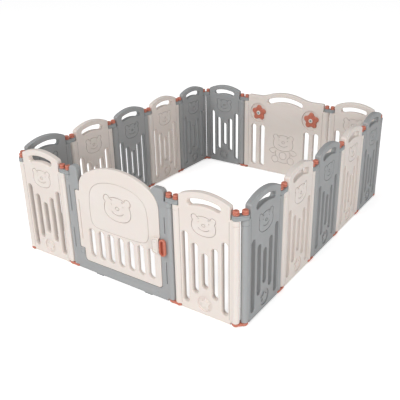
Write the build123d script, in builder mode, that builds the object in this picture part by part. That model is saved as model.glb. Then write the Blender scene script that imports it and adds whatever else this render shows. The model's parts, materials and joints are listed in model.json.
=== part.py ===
"""Folding playpen: fourteen small panels, a gate and an activity panel, hinged in a ring.

Millimetres, +Z up, standing on z = 0, +Y from the gate side to the activity side.
Every panel is drawn in its own frame: pivot A on the Z axis, pivot B along +X,
+Y towards the inside of the pen. The ring walk at the end places the copies.
"""

import os
from math import cos, radians, sin, sqrt

from build123d import *

# ---- driving dimensions -------------------------------------------------------------

# ring
SMALL_PITCH = 345.0          # pivot to pivot of a small panel
WIDE_PITCH = 710.0           # pivot to pivot of the gate and of the activity panel
LINK_PITCH = 44.0            # pivot to pivot of a connector
SIDE_PANELS = 5              # small panels along each long side

# heights
PAD_H = 8.0                  # anti-slip pads, floor to the underside of a panel
LINK_H = 14.0                # floor connector plate
POST_TOP = 590.0
SHOULDER_Z = POST_TOP + 65.0         # top corners of a small panel
PEAK_Z = SHOULDER_Z + 35.0           # top of every arch
BRACKET_H = 24.0
KNOB_H = 25.0

# thicknesses, pivots and clearances
PANEL_T = 35.0               # panel thickness and post diameter
BRACKET_R = 21.0
LINK_R = 20.0
KNOB_R = 16.5
PAD_R = 14.0
PIN_R = 6.0
TOP_PIN_DEPTH = 55.0         # pivot pin inside the top of a post
FLOOR_PIN_DEPTH = 50.0       # pivot pin inside the foot of a post
RUN_GAP = 0.05               # radial running clearance of a pin
FIT_GAP = 0.1                # radial clearance where nothing turns
END_GAP = 1.0                # above and below a post
NOTCH_GAP = 2.5              # from a bracket to the wall of its notch

# small panel
SLOT_W = 38.0
SLOT_INSET = 54.5            # pivot to the nearest slot's centre
SLOT_FEET = (164.0, 120.0, 50.0)     # middle, next, outer slot
SLOT_DROPS = (224.0, 181.0, 129.0)   # slot tops below the post tops, in the same order
GRIP_W = 35.0                # height of the handle hole
GRIP_BAND = 35.0             # material over the handle hole
GRIP_HALF = 80.0             # panel centre to the end radius of the handle hole
SHOULDER_R = 14.0

# gate frame and door
SILL_TOP = 71.0
LEFT_HEAD_X = 83.0           # inner edge of the left upright above and below the flange
RIGHT_HEAD_W = 104.0         # pivot B to the inner end of the right upright's head
HEAD_R = 24.0
UPRIGHT_W = 57.0             # pivot B to the door opening
DOOR_T = 26.0
DOOR_GAP = 3.0               # all round the door
DOOR_SPRING_Z = POST_TOP - 3.0       # where the door's arch meets its sides
DOOR_SHOULDER_R = 110.0
DOOR_FOOT_R = 22.0
FLANGE_X = 52.0              # hinge edge of the door
FLANGE_SPAN = (153.0, POST_TOP - 78.0)
FLANGE_ROUND = 7.0
DOOR_SLOTS = 7
DOOR_SLOT_W = 44.0
DOOR_SLOT_INSET = 66.0       # side of the door to the nearest slot's centre
DOOR_SLOT_SPAN = (112.0, 292.0)
HINGE_INSET = 9.0            # hinge axis from the door's hinge edge
HINGE_DEPTH = 8.5            # hinge axis behind the front face
HINGE_PIN_R = 4.0
HINGE_PIN_IN = 28.0          # pin length into the door and into the frame

# latch
LATCH_Z = 330.0
HOUSING_W = 48.0
HOUSING_H = 92.0
HOUSING_R = 22.0
HOUSING_PROUD = 14.0
HOUSING_WALL = 3.0
CAVITY_W = 36.0
CAVITY_H = 66.0
SLIDE_GAP = 0.5
TONGUE_H = 30.0
RING_W = 38.0
RING_H = 98.0
RING_T = 16.0
RING_RIM = 8.0
RING_FLOOR = 3.0
RING_OFFSET = 6.0            # edge of the door to the ring
RING_CLEAR = 1.0             # back of the ring to the face of the upright
LUG_W = 10.0
LUG_T = 6.5
LUG_H = 14.0
LUG_DROP = 12.0              # lug centre below the latch centre
STRIKE_W = 24.0
STRIKE_H = 52.0
STRIKE_T = 10.0
STRIKE_WALL = 3.0
SPRING_R = 2.6
SPRING_WIRE_R = 0.5
SPRING_TURNS = 7
SPRING_SIDES = 8
SCREW_R = 2.0
SCREW_HEAD_R = 4.5
SCREW_HEAD_H = 2.5
SCREW_IN = 6.0               # screw length inside the housing
SCREW_INSET = 6.0            # screws from the rounded edge of the housing
SCREW_SPREAD = 22.0          # screws above and below the latch centre

# activity panel
ACTIVITY_SHOULDER_Z = SHOULDER_Z - 7.0
ACTIVITY_SHOULDER_R = 12.0
WAVE_TURN = 150.0            # panel centre to the change of curve
WAVE_TURN_Z = PEAK_Z - 26.0
WAVE_FOOT = 240.0            # panel centre to the foot of the wave
ACTIVITY_SLOTS = (76.0, 156.0)
ACTIVITY_SLOT_W = 44.0
ACTIVITY_SLOT_SPAN = (48.0, POST_TOP - 188.0)
ACTIVITY_GRIP_W = 40.0
ACTIVITY_GRIP_Z = PEAK_Z - 54.0
ACTIVITY_GRIP_HALF = 135.0
ACTIVITY_GRIP_SAG = 26.0
FLOWER_X = 122.0             # flower axis from the nearer pivot
FLOWER_Z = POST_TOP - 85.0
POCKET_R = 79.0
POCKET_DEPTH = 10.0
FLOWER_T = 12.0
FLOWER_GAP = 1.0             # flower to the pocket floor and to the axle's cap
PETALS = 5
PETAL_R = 20.0
PETAL_AT = 45.0
FLOWER_CORE_R = 42.0
AXLE_R = 8.0
AXLE_TAIL_R = 5.0
CAP_R = 17.0
CAP_H = 4.0

# feet under the sill
FOOT_LEN = 54.0
FOOT_W = 26.0
FOOT_AT = (182.0, 545.0)

CORNER_TURN = 45             # degrees at each pivot of a corner connector
OPEN_CONNECTOR = "activity_right"   # holds no pin on the activity panel: the ring opens there

# ---- worked out from the dimensions above -------------------------------------------

HALF_T = PANEL_T / 2
POST_BOTTOM = PAD_H + LINK_H + END_GAP
BRACKET_Z = POST_TOP + END_GAP
KNOB_Z = BRACKET_Z + BRACKET_H
NOTCH_W = BRACKET_R + NOTCH_GAP

SLOT_STEP = (SMALL_PITCH / 2 - SLOT_INSET) / 2
ARCH_RISE = PEAK_Z - SHOULDER_Z
ARCH_HALF = SMALL_PITCH / 2 - NOTCH_W
ARCH_R = (ARCH_HALF ** 2 + ARCH_RISE ** 2) / (2 * ARCH_RISE)
GRIP_R = ARCH_R - GRIP_BAND - GRIP_W / 2
GRIP_Z = PEAK_Z - GRIP_BAND - GRIP_W / 2
GRIP_END_Z = GRIP_Z - GRIP_R + sqrt(GRIP_R ** 2 - GRIP_HALF ** 2)

DOOR_LEFT = LEFT_HEAD_X + DOOR_GAP
DOOR_RIGHT = WIDE_PITCH - UPRIGHT_W - DOOR_GAP
DOOR_BOTTOM = SILL_TOP + DOOR_GAP
DOOR_MID = (DOOR_LEFT + DOOR_RIGHT) / 2
DOOR_BACK = DOOR_T - HALF_T
DOOR_SLOT_STEP = (DOOR_RIGHT - DOOR_LEFT - 2 * DOOR_SLOT_INSET) / (DOOR_SLOTS - 1)
HINGE_X = FLANGE_X + HINGE_INSET
HINGE_Y = HINGE_DEPTH - HALF_T

HOUSING_X = DOOR_RIGHT - HOUSING_W
SCREW_X = HOUSING_X + SCREW_INSET
SCREW_ZS = (LATCH_Z - SCREW_SPREAD, LATCH_Z + SCREW_SPREAD)
CAVITY_T = HOUSING_PROUD - HOUSING_WALL
CAVITY_FLOOR = LATCH_Z - CAVITY_H / 2
CAVITY_TOP = LATCH_Z + CAVITY_H / 2
TONGUE_T = CAVITY_T - 2 * SLIDE_GAP
TONGUE_TOP = CAVITY_FLOOR + SLIDE_GAP + TONGUE_H
RING_X = DOOR_RIGHT + RING_OFFSET + RING_W / 2
RING_BACK = HALF_T + RING_CLEAR          # distances in front of the panel's mid-plane
RING_FRONT = RING_BACK + RING_T
LUG_Z = LATCH_Z - LUG_DROP

POCKET_Y = HALF_T - POCKET_DEPTH
FLOWER_Y = POCKET_Y + FLOWER_GAP
CAP_Y = FLOWER_Y + FLOWER_T + FLOWER_GAP

CORNER = LINK_PITCH / sqrt(2)
FRONT_LEN = 2 * SMALL_PITCH + WIDE_PITCH + 2 * LINK_PITCH
DEPTH = SIDE_PANELS * SMALL_PITCH + (SIDE_PANELS - 1) * LINK_PITCH + 2 * CORNER
CENTRE_X = FRONT_LEN / 2
CENTRE_Y = (DEPTH + BRACKET_R - RING_FRONT) / 2

ON_FLOOR = (Align.CENTER, Align.CENTER, Align.MIN)
HANGING = (Align.CENTER, Align.CENTER, Align.MAX)


def panel_edges(pitch):
    """Carry a panel's face outline from its notch walls out to both pivots."""
    for x, side in ((0, Align.MIN), (pitch, Align.MAX)):
        with Locations((x, POST_BOTTOM)):
            Rectangle(NOTCH_W, POST_TOP - POST_BOTTOM, align=(side, Align.MIN))


def upright_slot(x, low, high, width):
    """Cut one vertical round-ended slot from a face outline."""
    with Locations((x, (low + high) / 2)):
        SlotOverall(high - low, width, rotation=90, mode=Mode.SUBTRACT)


def arc_slot(x, z, half, sag, width):
    """Cut a round-ended slot that follows a flat arc, its crown at (x, z)."""
    with BuildLine(mode=Mode.PRIVATE) as run:
        ThreePointArc((x - half, z - sag), (x, z), (x + half, z - sag))
    SlotArc(run.edge(), width, mode=Mode.SUBTRACT)


def hinge_posts(pitch):
    """Round posts at both ends of a panel, bored for the pivot pins."""
    with Locations((0, 0, POST_BOTTOM), (pitch, 0, POST_BOTTOM)):
        Cylinder(HALF_T, POST_TOP - POST_BOTTOM, align=ON_FLOOR)
        Cylinder(PIN_R + RUN_GAP, FLOOR_PIN_DEPTH + END_GAP, align=ON_FLOOR, mode=Mode.SUBTRACT)
    with Locations((0, 0, POST_TOP), (pitch, 0, POST_TOP)):
        Cylinder(PIN_R + RUN_GAP, TOP_PIN_DEPTH + END_GAP, align=HANGING, mode=Mode.SUBTRACT)


# ---- small panel --------------------------------------------------------------------

with BuildPart() as small_panel:
    with BuildSketch(Plane.XZ) as small_face:
        with BuildLine():
            Polyline((NOTCH_W, SHOULDER_Z), (NOTCH_W, PAD_H), (SMALL_PITCH - NOTCH_W, PAD_H),
                     (SMALL_PITCH - NOTCH_W, SHOULDER_Z))
            ThreePointArc((SMALL_PITCH - NOTCH_W, SHOULDER_Z), (SMALL_PITCH / 2, PEAK_Z),
                          (NOTCH_W, SHOULDER_Z))
        make_face()
        fillet(small_face.vertices().group_by(Axis.Y)[-1], SHOULDER_R)
        panel_edges(SMALL_PITCH)
        for step in range(-2, 3):
            low, drop = SLOT_FEET[abs(step)], SLOT_DROPS[abs(step)]
            upright_slot(SMALL_PITCH / 2 + step * SLOT_STEP, low, POST_TOP - drop, SLOT_W)
        arc_slot(SMALL_PITCH / 2, GRIP_Z, GRIP_HALF, GRIP_Z - GRIP_END_Z, GRIP_W)
    extrude(amount=HALF_T, both=True)
    hinge_posts(SMALL_PITCH)

# ---- activity panel -----------------------------------------------------------------

FLOWER_XS = (FLOWER_X, WIDE_PITCH - FLOWER_X)

with BuildPart() as activity_panel:
    mid = WIDE_PITCH / 2
    with BuildSketch(Plane.XZ) as activity_face:
        with BuildLine():
            left_foot = (mid - WAVE_FOOT, ACTIVITY_SHOULDER_Z)
            right_foot = (mid + WAVE_FOOT, ACTIVITY_SHOULDER_Z)
            Polyline(left_foot, (NOTCH_W, ACTIVITY_SHOULDER_Z), (NOTCH_W, PAD_H),
                     (WIDE_PITCH - NOTCH_W, PAD_H),
                     (WIDE_PITCH - NOTCH_W, ACTIVITY_SHOULDER_Z), right_foot)
            wave = ThreePointArc((mid - WAVE_TURN, WAVE_TURN_Z), (mid, PEAK_Z),
                                 (mid + WAVE_TURN, WAVE_TURN_Z))
            TangentArc(wave @ 1, right_foot, tangent=wave % 1)
            TangentArc(wave @ 0, left_foot, tangent=-(wave % 0))
        make_face()
        shoulders = activity_face.vertices().group_by(Axis.Y)[-3]
        fillet(shoulders.sort_by(Axis.X)[0::len(shoulders) - 1], ACTIVITY_SHOULDER_R)
        panel_edges(WIDE_PITCH)
        for x in ACTIVITY_SLOTS:
            upright_slot(x, *ACTIVITY_SLOT_SPAN, ACTIVITY_SLOT_W)
            upright_slot(WIDE_PITCH - x, *ACTIVITY_SLOT_SPAN, ACTIVITY_SLOT_W)
        arc_slot(mid, ACTIVITY_GRIP_Z, ACTIVITY_GRIP_HALF, ACTIVITY_GRIP_SAG, ACTIVITY_GRIP_W)
    extrude(amount=HALF_T, both=True)
    hinge_posts(WIDE_PITCH)
    with BuildSketch(Plane.XZ.offset(-HALF_T)):
        with Locations(*((x, FLOWER_Z) for x in FLOWER_XS)):
            Circle(POCKET_R)
    extrude(amount=POCKET_DEPTH, mode=Mode.SUBTRACT)
    with BuildSketch(Plane.XZ.offset(-HALF_T)):
        with Locations(*((x, FLOWER_Z) for x in FLOWER_XS)):
            Circle(AXLE_TAIL_R + FIT_GAP)
    extrude(amount=PANEL_T, mode=Mode.SUBTRACT)

with BuildPart() as flower:
    with BuildSketch(Plane.XZ.offset(-FLOWER_Y - FLOWER_T)):
        Circle(FLOWER_CORE_R)
        with PolarLocations(PETAL_AT, PETALS, start_angle=90):
            Circle(PETAL_R)
        Circle(AXLE_R + RUN_GAP, mode=Mode.SUBTRACT)
    extrude(amount=FLOWER_T)

with BuildPart() as flower_axle:
    with BuildSketch(Plane.XZ.offset(-CAP_Y - CAP_H)):
        Circle(CAP_R)
    extrude(amount=CAP_H)
    with BuildSketch(Plane.XZ.offset(-CAP_Y)):
        Circle(AXLE_R)
    extrude(amount=CAP_Y - POCKET_Y)
    with BuildSketch(Plane.XZ.offset(-POCKET_Y)):
        Circle(AXLE_TAIL_R)
    extrude(amount=PANEL_T - POCKET_DEPTH)

# ---- gate door and frame ------------------------------------------------------------

with BuildSketch(Plane.XZ) as door_face:
    with BuildLine():
        Polyline((DOOR_LEFT, DOOR_SPRING_Z), (DOOR_LEFT, DOOR_BOTTOM),
                 (DOOR_RIGHT, DOOR_BOTTOM), (DOOR_RIGHT, DOOR_SPRING_Z))
        ThreePointArc((DOOR_RIGHT, DOOR_SPRING_Z), (DOOR_MID, PEAK_Z), (DOOR_LEFT, DOOR_SPRING_Z))
    make_face()
    fillet(door_face.vertices().group_by(Axis.Y)[-1], DOOR_SHOULDER_R)
    fillet(door_face.vertices().group_by(Axis.Y)[0], DOOR_FOOT_R)
    with Locations((FLANGE_X, FLANGE_SPAN[0])):
        Rectangle(DOOR_MID - FLANGE_X, FLANGE_SPAN[1] - FLANGE_SPAN[0], align=Align.MIN)

with BuildPart() as gate_door:
    with BuildSketch(Plane.XZ.offset(-DOOR_BACK)):
        add(door_face.sketch_local)
        for count in range(DOOR_SLOTS):
            slot_x = DOOR_MID + (count - (DOOR_SLOTS - 1) / 2) * DOOR_SLOT_STEP
            upright_slot(slot_x, *DOOR_SLOT_SPAN, DOOR_SLOT_W)
    extrude(amount=DOOR_T)
    fillet(gate_door.edges().filter_by(Axis.Z).group_by(Axis.X)[0], FLANGE_ROUND)
    for z, side in ((FLANGE_SPAN[1], HANGING), (FLANGE_SPAN[0], ON_FLOOR)):
        with Locations((HINGE_X, HINGE_Y, z)):
            Cylinder(HINGE_PIN_R + RUN_GAP, HINGE_PIN_IN + END_GAP, align=side,
                     mode=Mode.SUBTRACT)
    with BuildSketch(Plane.XZ.offset(-DOOR_BACK)):
        with Locations(*((SCREW_X, z) for z in SCREW_ZS)):
            Circle(SCREW_R + FIT_GAP)
    extrude(amount=DOOR_T, mode=Mode.SUBTRACT)

with BuildPart() as gate_frame:
    with BuildSketch(Plane.XZ) as frame_face:
        for x, width in ((NOTCH_W, LEFT_HEAD_X - NOTCH_W),
                         (WIDE_PITCH - RIGHT_HEAD_W, RIGHT_HEAD_W - NOTCH_W)):
            with Locations((x, PAD_H)):
                Rectangle(width, SHOULDER_Z - PAD_H, align=Align.MIN)
        fillet(frame_face.vertices().group_by(Axis.Y)[-1], HEAD_R)
        with Locations((NOTCH_W, PAD_H)):
            Rectangle(WIDE_PITCH - 2 * NOTCH_W, SILL_TOP - PAD_H, align=Align.MIN)
        panel_edges(WIDE_PITCH)
        offset(door_face.sketch_local, amount=DOOR_GAP, kind=Kind.INTERSECTION,
               mode=Mode.SUBTRACT)
    extrude(amount=HALF_T, both=True)
    hinge_posts(WIDE_PITCH)
    for z, side in ((FLANGE_SPAN[1] + DOOR_GAP, ON_FLOOR), (FLANGE_SPAN[0] - DOOR_GAP, HANGING)):
        with Locations((HINGE_X, HINGE_Y, z)):
            Cylinder(HINGE_PIN_R + RUN_GAP, HINGE_PIN_IN + END_GAP, align=side,
                     mode=Mode.SUBTRACT)
    with BuildSketch(Plane.XZ.offset(HALF_T)):
        with Locations((RING_X, LATCH_Z)):
            Rectangle(STRIKE_W, STRIKE_H)
    extrude(amount=-STRIKE_T, mode=Mode.SUBTRACT)

with BuildPart() as hinge_pins:
    for low in (FLANGE_SPAN[1] - HINGE_PIN_IN, FLANGE_SPAN[0] - DOOR_GAP - HINGE_PIN_IN):
        with Locations((HINGE_X, HINGE_Y, low)):
            Cylinder(HINGE_PIN_R, 2 * HINGE_PIN_IN + DOOR_GAP, align=ON_FLOOR)

with BuildPart() as sill_feet:
    with Locations(*((x, 0, 0) for x in FOOT_AT)):
        Box(FOOT_LEN, FOOT_W, PAD_H, align=ON_FLOOR)

# ---- latch --------------------------------------------------------------------------

with BuildPart() as latch_housing:
    with BuildSketch(Plane.XZ.offset(HALF_T)) as housing_face:
        with Locations((HOUSING_X, LATCH_Z)):
            Rectangle(HOUSING_W, HOUSING_H, align=(Align.MIN, Align.CENTER))
        fillet(housing_face.vertices().group_by(Axis.X)[0], HOUSING_R)
    extrude(amount=HOUSING_PROUD)
    with BuildSketch(Plane.XZ.offset(HALF_T)):
        with Locations((DOOR_RIGHT, LATCH_Z)):
            Rectangle(CAVITY_W, CAVITY_H, align=(Align.MAX, Align.CENTER))
    extrude(amount=CAVITY_T, mode=Mode.SUBTRACT)
    with BuildSketch(Plane.XZ.offset(HALF_T)):
        with Locations(*((SCREW_X, z) for z in SCREW_ZS)):
            Circle(SCREW_R + FIT_GAP)
    extrude(amount=SCREW_IN + END_GAP, mode=Mode.SUBTRACT)

with BuildPart() as latch_slider:
    with BuildSketch(Plane.XZ.offset(RING_BACK)):
        with Locations((RING_X, LATCH_Z)):
            SlotOverall(RING_H, RING_W, rotation=90)
    extrude(amount=RING_T)
    with BuildSketch(Plane.XZ.offset(HALF_T + SLIDE_GAP)):
        with Locations((RING_X, TONGUE_TOP)):
            Rectangle(RING_X - DOOR_RIGHT + CAVITY_W - SLIDE_GAP, TONGUE_H, align=Align.MAX)
    extrude(amount=TONGUE_T)
    with BuildSketch(Plane.XZ.offset(RING_BACK + RING_FLOOR)):
        with Locations((RING_X, LATCH_Z)):
            SlotOverall(RING_H - 2 * RING_RIM, RING_W - 2 * RING_RIM, rotation=90)
    extrude(amount=RING_T, mode=Mode.SUBTRACT)
    with BuildSketch(Plane.XZ.offset(RING_BACK)):
        with Locations((RING_X, LUG_Z)):
            Rectangle(LUG_W, LUG_H)
    extrude(amount=-LUG_T)

with BuildPart() as strike_plate:
    with BuildSketch(Plane.XZ.offset(HALF_T)):
        with Locations((RING_X, LATCH_Z)):
            Rectangle(STRIKE_W, STRIKE_H)
    extrude(amount=-STRIKE_T)
    with BuildSketch(Plane.XZ.offset(HALF_T)):
        with Locations((RING_X, LATCH_Z)):
            Rectangle(STRIKE_W - 2 * STRIKE_WALL, STRIKE_H - 2 * STRIKE_WALL)
    extrude(amount=-(STRIKE_T - STRIKE_WALL), mode=Mode.SUBTRACT)

with BuildPart() as latch_spring:
    spring_y = -(HALF_T + CAVITY_T / 2)
    spring_z = TONGUE_TOP + SPRING_WIRE_R + FIT_GAP
    spring_len = CAVITY_TOP - FIT_GAP - SPRING_WIRE_R - spring_z
    with BuildLine() as coil:
        Helix(spring_len / SPRING_TURNS, spring_len, SPRING_R,
              center=(DOOR_RIGHT - CAVITY_W / 2, spring_y, spring_z))
    with BuildSketch(Plane(origin=coil.line @ 0, z_dir=coil.line % 0)):
        RegularPolygon(SPRING_WIRE_R, SPRING_SIDES)
    sweep()

with BuildPart() as latch_screws:
    for z in SCREW_ZS:
        with BuildSketch(Plane.XZ.offset(-DOOR_BACK)):
            with Locations((SCREW_X, z)):
                Circle(SCREW_R)
        extrude(amount=DOOR_T + SCREW_IN)
        with BuildSketch(Plane.XZ.offset(-DOOR_BACK - SCREW_HEAD_H)):
            with Locations((SCREW_X, z)):
                Circle(SCREW_HEAD_R)
        extrude(amount=SCREW_HEAD_H)

# ---- connectors ---------------------------------------------------------------------

BOTH_PIVOTS = ((0, 0), (LINK_PITCH, 0))


def link_slot(radius):
    """Outline of a connector: a disc round each pivot and the web between them."""
    with Locations((LINK_PITCH / 2, 0)):
        SlotCenterToCenter(LINK_PITCH, 2 * radius)


def pin_set(pinned):
    """Knob bolts, floor connector and pads of one connector; pins only at pinned pivots."""
    with BuildPart() as pins:
        with Locations(*((x, y, KNOB_Z) for x, y in BOTH_PIVOTS)):
            Cylinder(KNOB_R, KNOB_H, align=ON_FLOOR)
            Cylinder(PIN_R, BRACKET_H, align=HANGING)
        with BuildSketch(Plane.XY.offset(PAD_H)):
            link_slot(LINK_R)
        extrude(amount=LINK_H)
        with Locations(*((x, y, POST_TOP) for x, y in pinned)):
            Cylinder(PIN_R, TOP_PIN_DEPTH, align=HANGING)
        with Locations(*((x, y, BRACKET_Z) for x, y in pinned)):
            Cylinder(PIN_R, END_GAP, align=HANGING)
        with Locations(*((x, y, PAD_H + LINK_H) for x, y in pinned)):
            Cylinder(PIN_R, FLOOR_PIN_DEPTH, align=ON_FLOOR)
    with BuildPart() as pads:
        with Locations(*((x, y, 0) for x, y in BOTH_PIVOTS)):
            Cylinder(PAD_R, PAD_H, align=ON_FLOOR)
    return Compound(children=[*pins.part.solids(), *pads.part.solids()])


with BuildPart() as top_bracket:
    with BuildSketch(Plane.XY.offset(BRACKET_Z)):
        link_slot(BRACKET_R)
        with Locations(*BOTH_PIVOTS):
            Circle(PIN_R + FIT_GAP, mode=Mode.SUBTRACT)
    extrude(amount=BRACKET_H)

closed_pins = pin_set(BOTH_PIVOTS)
open_pins = pin_set(BOTH_PIVOTS[:1])

# ---- ring walk ----------------------------------------------------------------------


def long_side(name, numbers):
    """Panels and connectors of one long side, in the order of the walk."""
    steps = []
    for number in numbers:
        steps.append(("panel", f"{name}_panel_{number}"))
        if number != numbers[-1]:
            steps.append(("link", f"{name}_link_{min(number, number + numbers.step)}"))
    return steps


walk = [
    ("panel", "front_panel_left"), ("link", "gate_left"), ("gate", "gate"),
    ("link", "gate_right"), ("panel", "front_panel_right"), ("corner", "front_right"),
    *long_side("right", range(1, SIDE_PANELS + 1)), ("corner", "back_right"),
    ("panel", "back_panel_right"), ("link", "activity_right"), ("activity", "activity"),
    ("link", "activity_left"), ("panel", "back_panel_left"), ("corner", "back_left"),
    *long_side("left", range(SIDE_PANELS, 0, -1)), ("corner", "front_left"),
]
lengths = {"panel": SMALL_PITCH, "gate": WIDE_PITCH, "activity": WIDE_PITCH,
           "link": LINK_PITCH, "corner": LINK_PITCH}


def write(shape, place, name):
    """Place a copy of a piece and write it as its own node."""
    piece = shape.moved(place)
    piece.label = name
    export_step(piece, f"parts/{name}.step")


os.makedirs("parts", exist_ok=True)
x, y, heading = -CENTRE_X, -CENTRE_Y, 0
for kind, name in walk:
    if kind == "corner":
        heading += CORNER_TURN
    here = Location((x, y, 0), (0, 0, heading))
    if kind == "panel":
        write(small_panel.part, here, name)
    elif kind == "gate":
        write(gate_frame.part, here, "gate_frame")
        write(gate_door.part, here, "gate_door")
        write(hinge_pins.part, here, "gate_hinge_pins")
        write(sill_feet.part, here, "sill_feet")
        write(latch_housing.part, here, "latch_housing")
        write(latch_slider.part, here, "latch_slider")
        write(latch_spring.part, here, "latch_spring")
        write(latch_screws.part, here, "latch_screws")
        write(strike_plate.part, here, "strike_plate")
    elif kind == "activity":
        write(activity_panel.part, here, "activity_panel")
        for side, flower_x in zip(("right", "left"), FLOWER_XS):
            on_axis = here * Location((flower_x, 0, FLOWER_Z))
            write(flower.part, on_axis, f"flower_{side}")
            write(flower_axle.part, on_axis, f"flower_axle_{side}")
    else:
        write(top_bracket.part, here, f"{name}_bracket")
        write(open_pins if name == OPEN_CONNECTOR else closed_pins, here, f"{name}_pins")
    x += lengths[kind] * cos(radians(heading))
    y += lengths[kind] * sin(radians(heading))
    if kind == "corner":
        heading += CORNER_TURN
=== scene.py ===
"""Folding playpen of hinged blow-moulded panels with a swing gate and an activity panel.

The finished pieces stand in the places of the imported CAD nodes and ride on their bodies.
Panel drawings are in millimetres in the panel's own face: x from pivot A to pivot B,
z up from the floor, y through the thickness with the outside of the pen at minus y.
"""

from __future__ import annotations

import json
import logging
import math
from dataclasses import dataclass
from enum import Enum
from typing import Iterable, Sequence

import bmesh
import bpy
from mathutils import Matrix, Vector

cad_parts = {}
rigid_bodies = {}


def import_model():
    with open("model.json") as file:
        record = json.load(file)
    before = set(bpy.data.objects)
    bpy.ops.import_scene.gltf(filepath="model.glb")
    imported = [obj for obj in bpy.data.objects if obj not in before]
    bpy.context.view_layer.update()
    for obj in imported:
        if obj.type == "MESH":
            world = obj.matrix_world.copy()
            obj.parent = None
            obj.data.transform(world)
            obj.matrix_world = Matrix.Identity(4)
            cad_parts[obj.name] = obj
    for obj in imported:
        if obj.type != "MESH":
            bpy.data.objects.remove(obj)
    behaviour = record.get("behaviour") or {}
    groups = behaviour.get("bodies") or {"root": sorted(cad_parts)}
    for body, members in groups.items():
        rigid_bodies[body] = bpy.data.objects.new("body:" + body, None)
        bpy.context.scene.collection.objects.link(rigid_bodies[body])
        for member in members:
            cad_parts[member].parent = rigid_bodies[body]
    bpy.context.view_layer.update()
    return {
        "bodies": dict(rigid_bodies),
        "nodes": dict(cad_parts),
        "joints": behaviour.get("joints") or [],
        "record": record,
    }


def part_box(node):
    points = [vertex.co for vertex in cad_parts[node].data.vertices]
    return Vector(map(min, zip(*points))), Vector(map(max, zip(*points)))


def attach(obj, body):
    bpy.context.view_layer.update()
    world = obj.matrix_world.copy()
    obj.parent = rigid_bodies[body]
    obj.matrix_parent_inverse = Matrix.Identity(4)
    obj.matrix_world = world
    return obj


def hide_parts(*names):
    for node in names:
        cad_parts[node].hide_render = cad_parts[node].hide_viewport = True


LOG = logging.getLogger("playpen")

MM = 0.001
Point = tuple[float, float]


# ---- colours and materials ----------------------------------------------------------


def linear(code: str) -> tuple[float, float, float, float]:
    """Turn an sRGB hex code into the linear colour that shaders take.

    Args:
        code: Six hex digits with a leading hash.

    Returns:
        Linear red, green, blue and an alpha of one.
    """
    channels = (int(code[i:i + 2], 16) / 255 for i in (1, 3, 5))
    values = [c / 12.92 if c <= 0.04045 else ((c + 0.055) / 1.055) ** 2.4 for c in channels]
    return (*values, 1.0)


def per_metre(size_mm: float) -> float:
    """Pattern scale that repeats once every size_mm on Object coordinates."""
    return 1.0 / (size_mm * MM)


def add_node(tree: bpy.types.NodeTree, kind: str, settings: dict | None = None,
             **inputs: object) -> bpy.types.Node:
    """Add one node, set it up and feed its inputs.

    Args:
        tree: Tree that gets the node.
        kind: Node type identifier.
        settings: Attributes of the node, set before its inputs.
        **inputs: Socket names with underscores for spaces, each a value or a socket to link.

    Returns:
        The new node.
    """
    node = tree.nodes.new(kind)
    for name, value in (settings or {}).items():
        setattr(node, name, value)
    for name, value in inputs.items():
        wanted = name.replace("_", " ").strip().lower()
        sockets = [s for s in node.inputs if s.enabled and s.name.lower() == wanted]
        socket = sockets[1] if name.endswith("_") and len(sockets) > 1 else sockets[0]
        if isinstance(value, bpy.types.NodeSocket):
            tree.links.new(value, socket)
        else:
            socket.default_value = value
    return node


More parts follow.
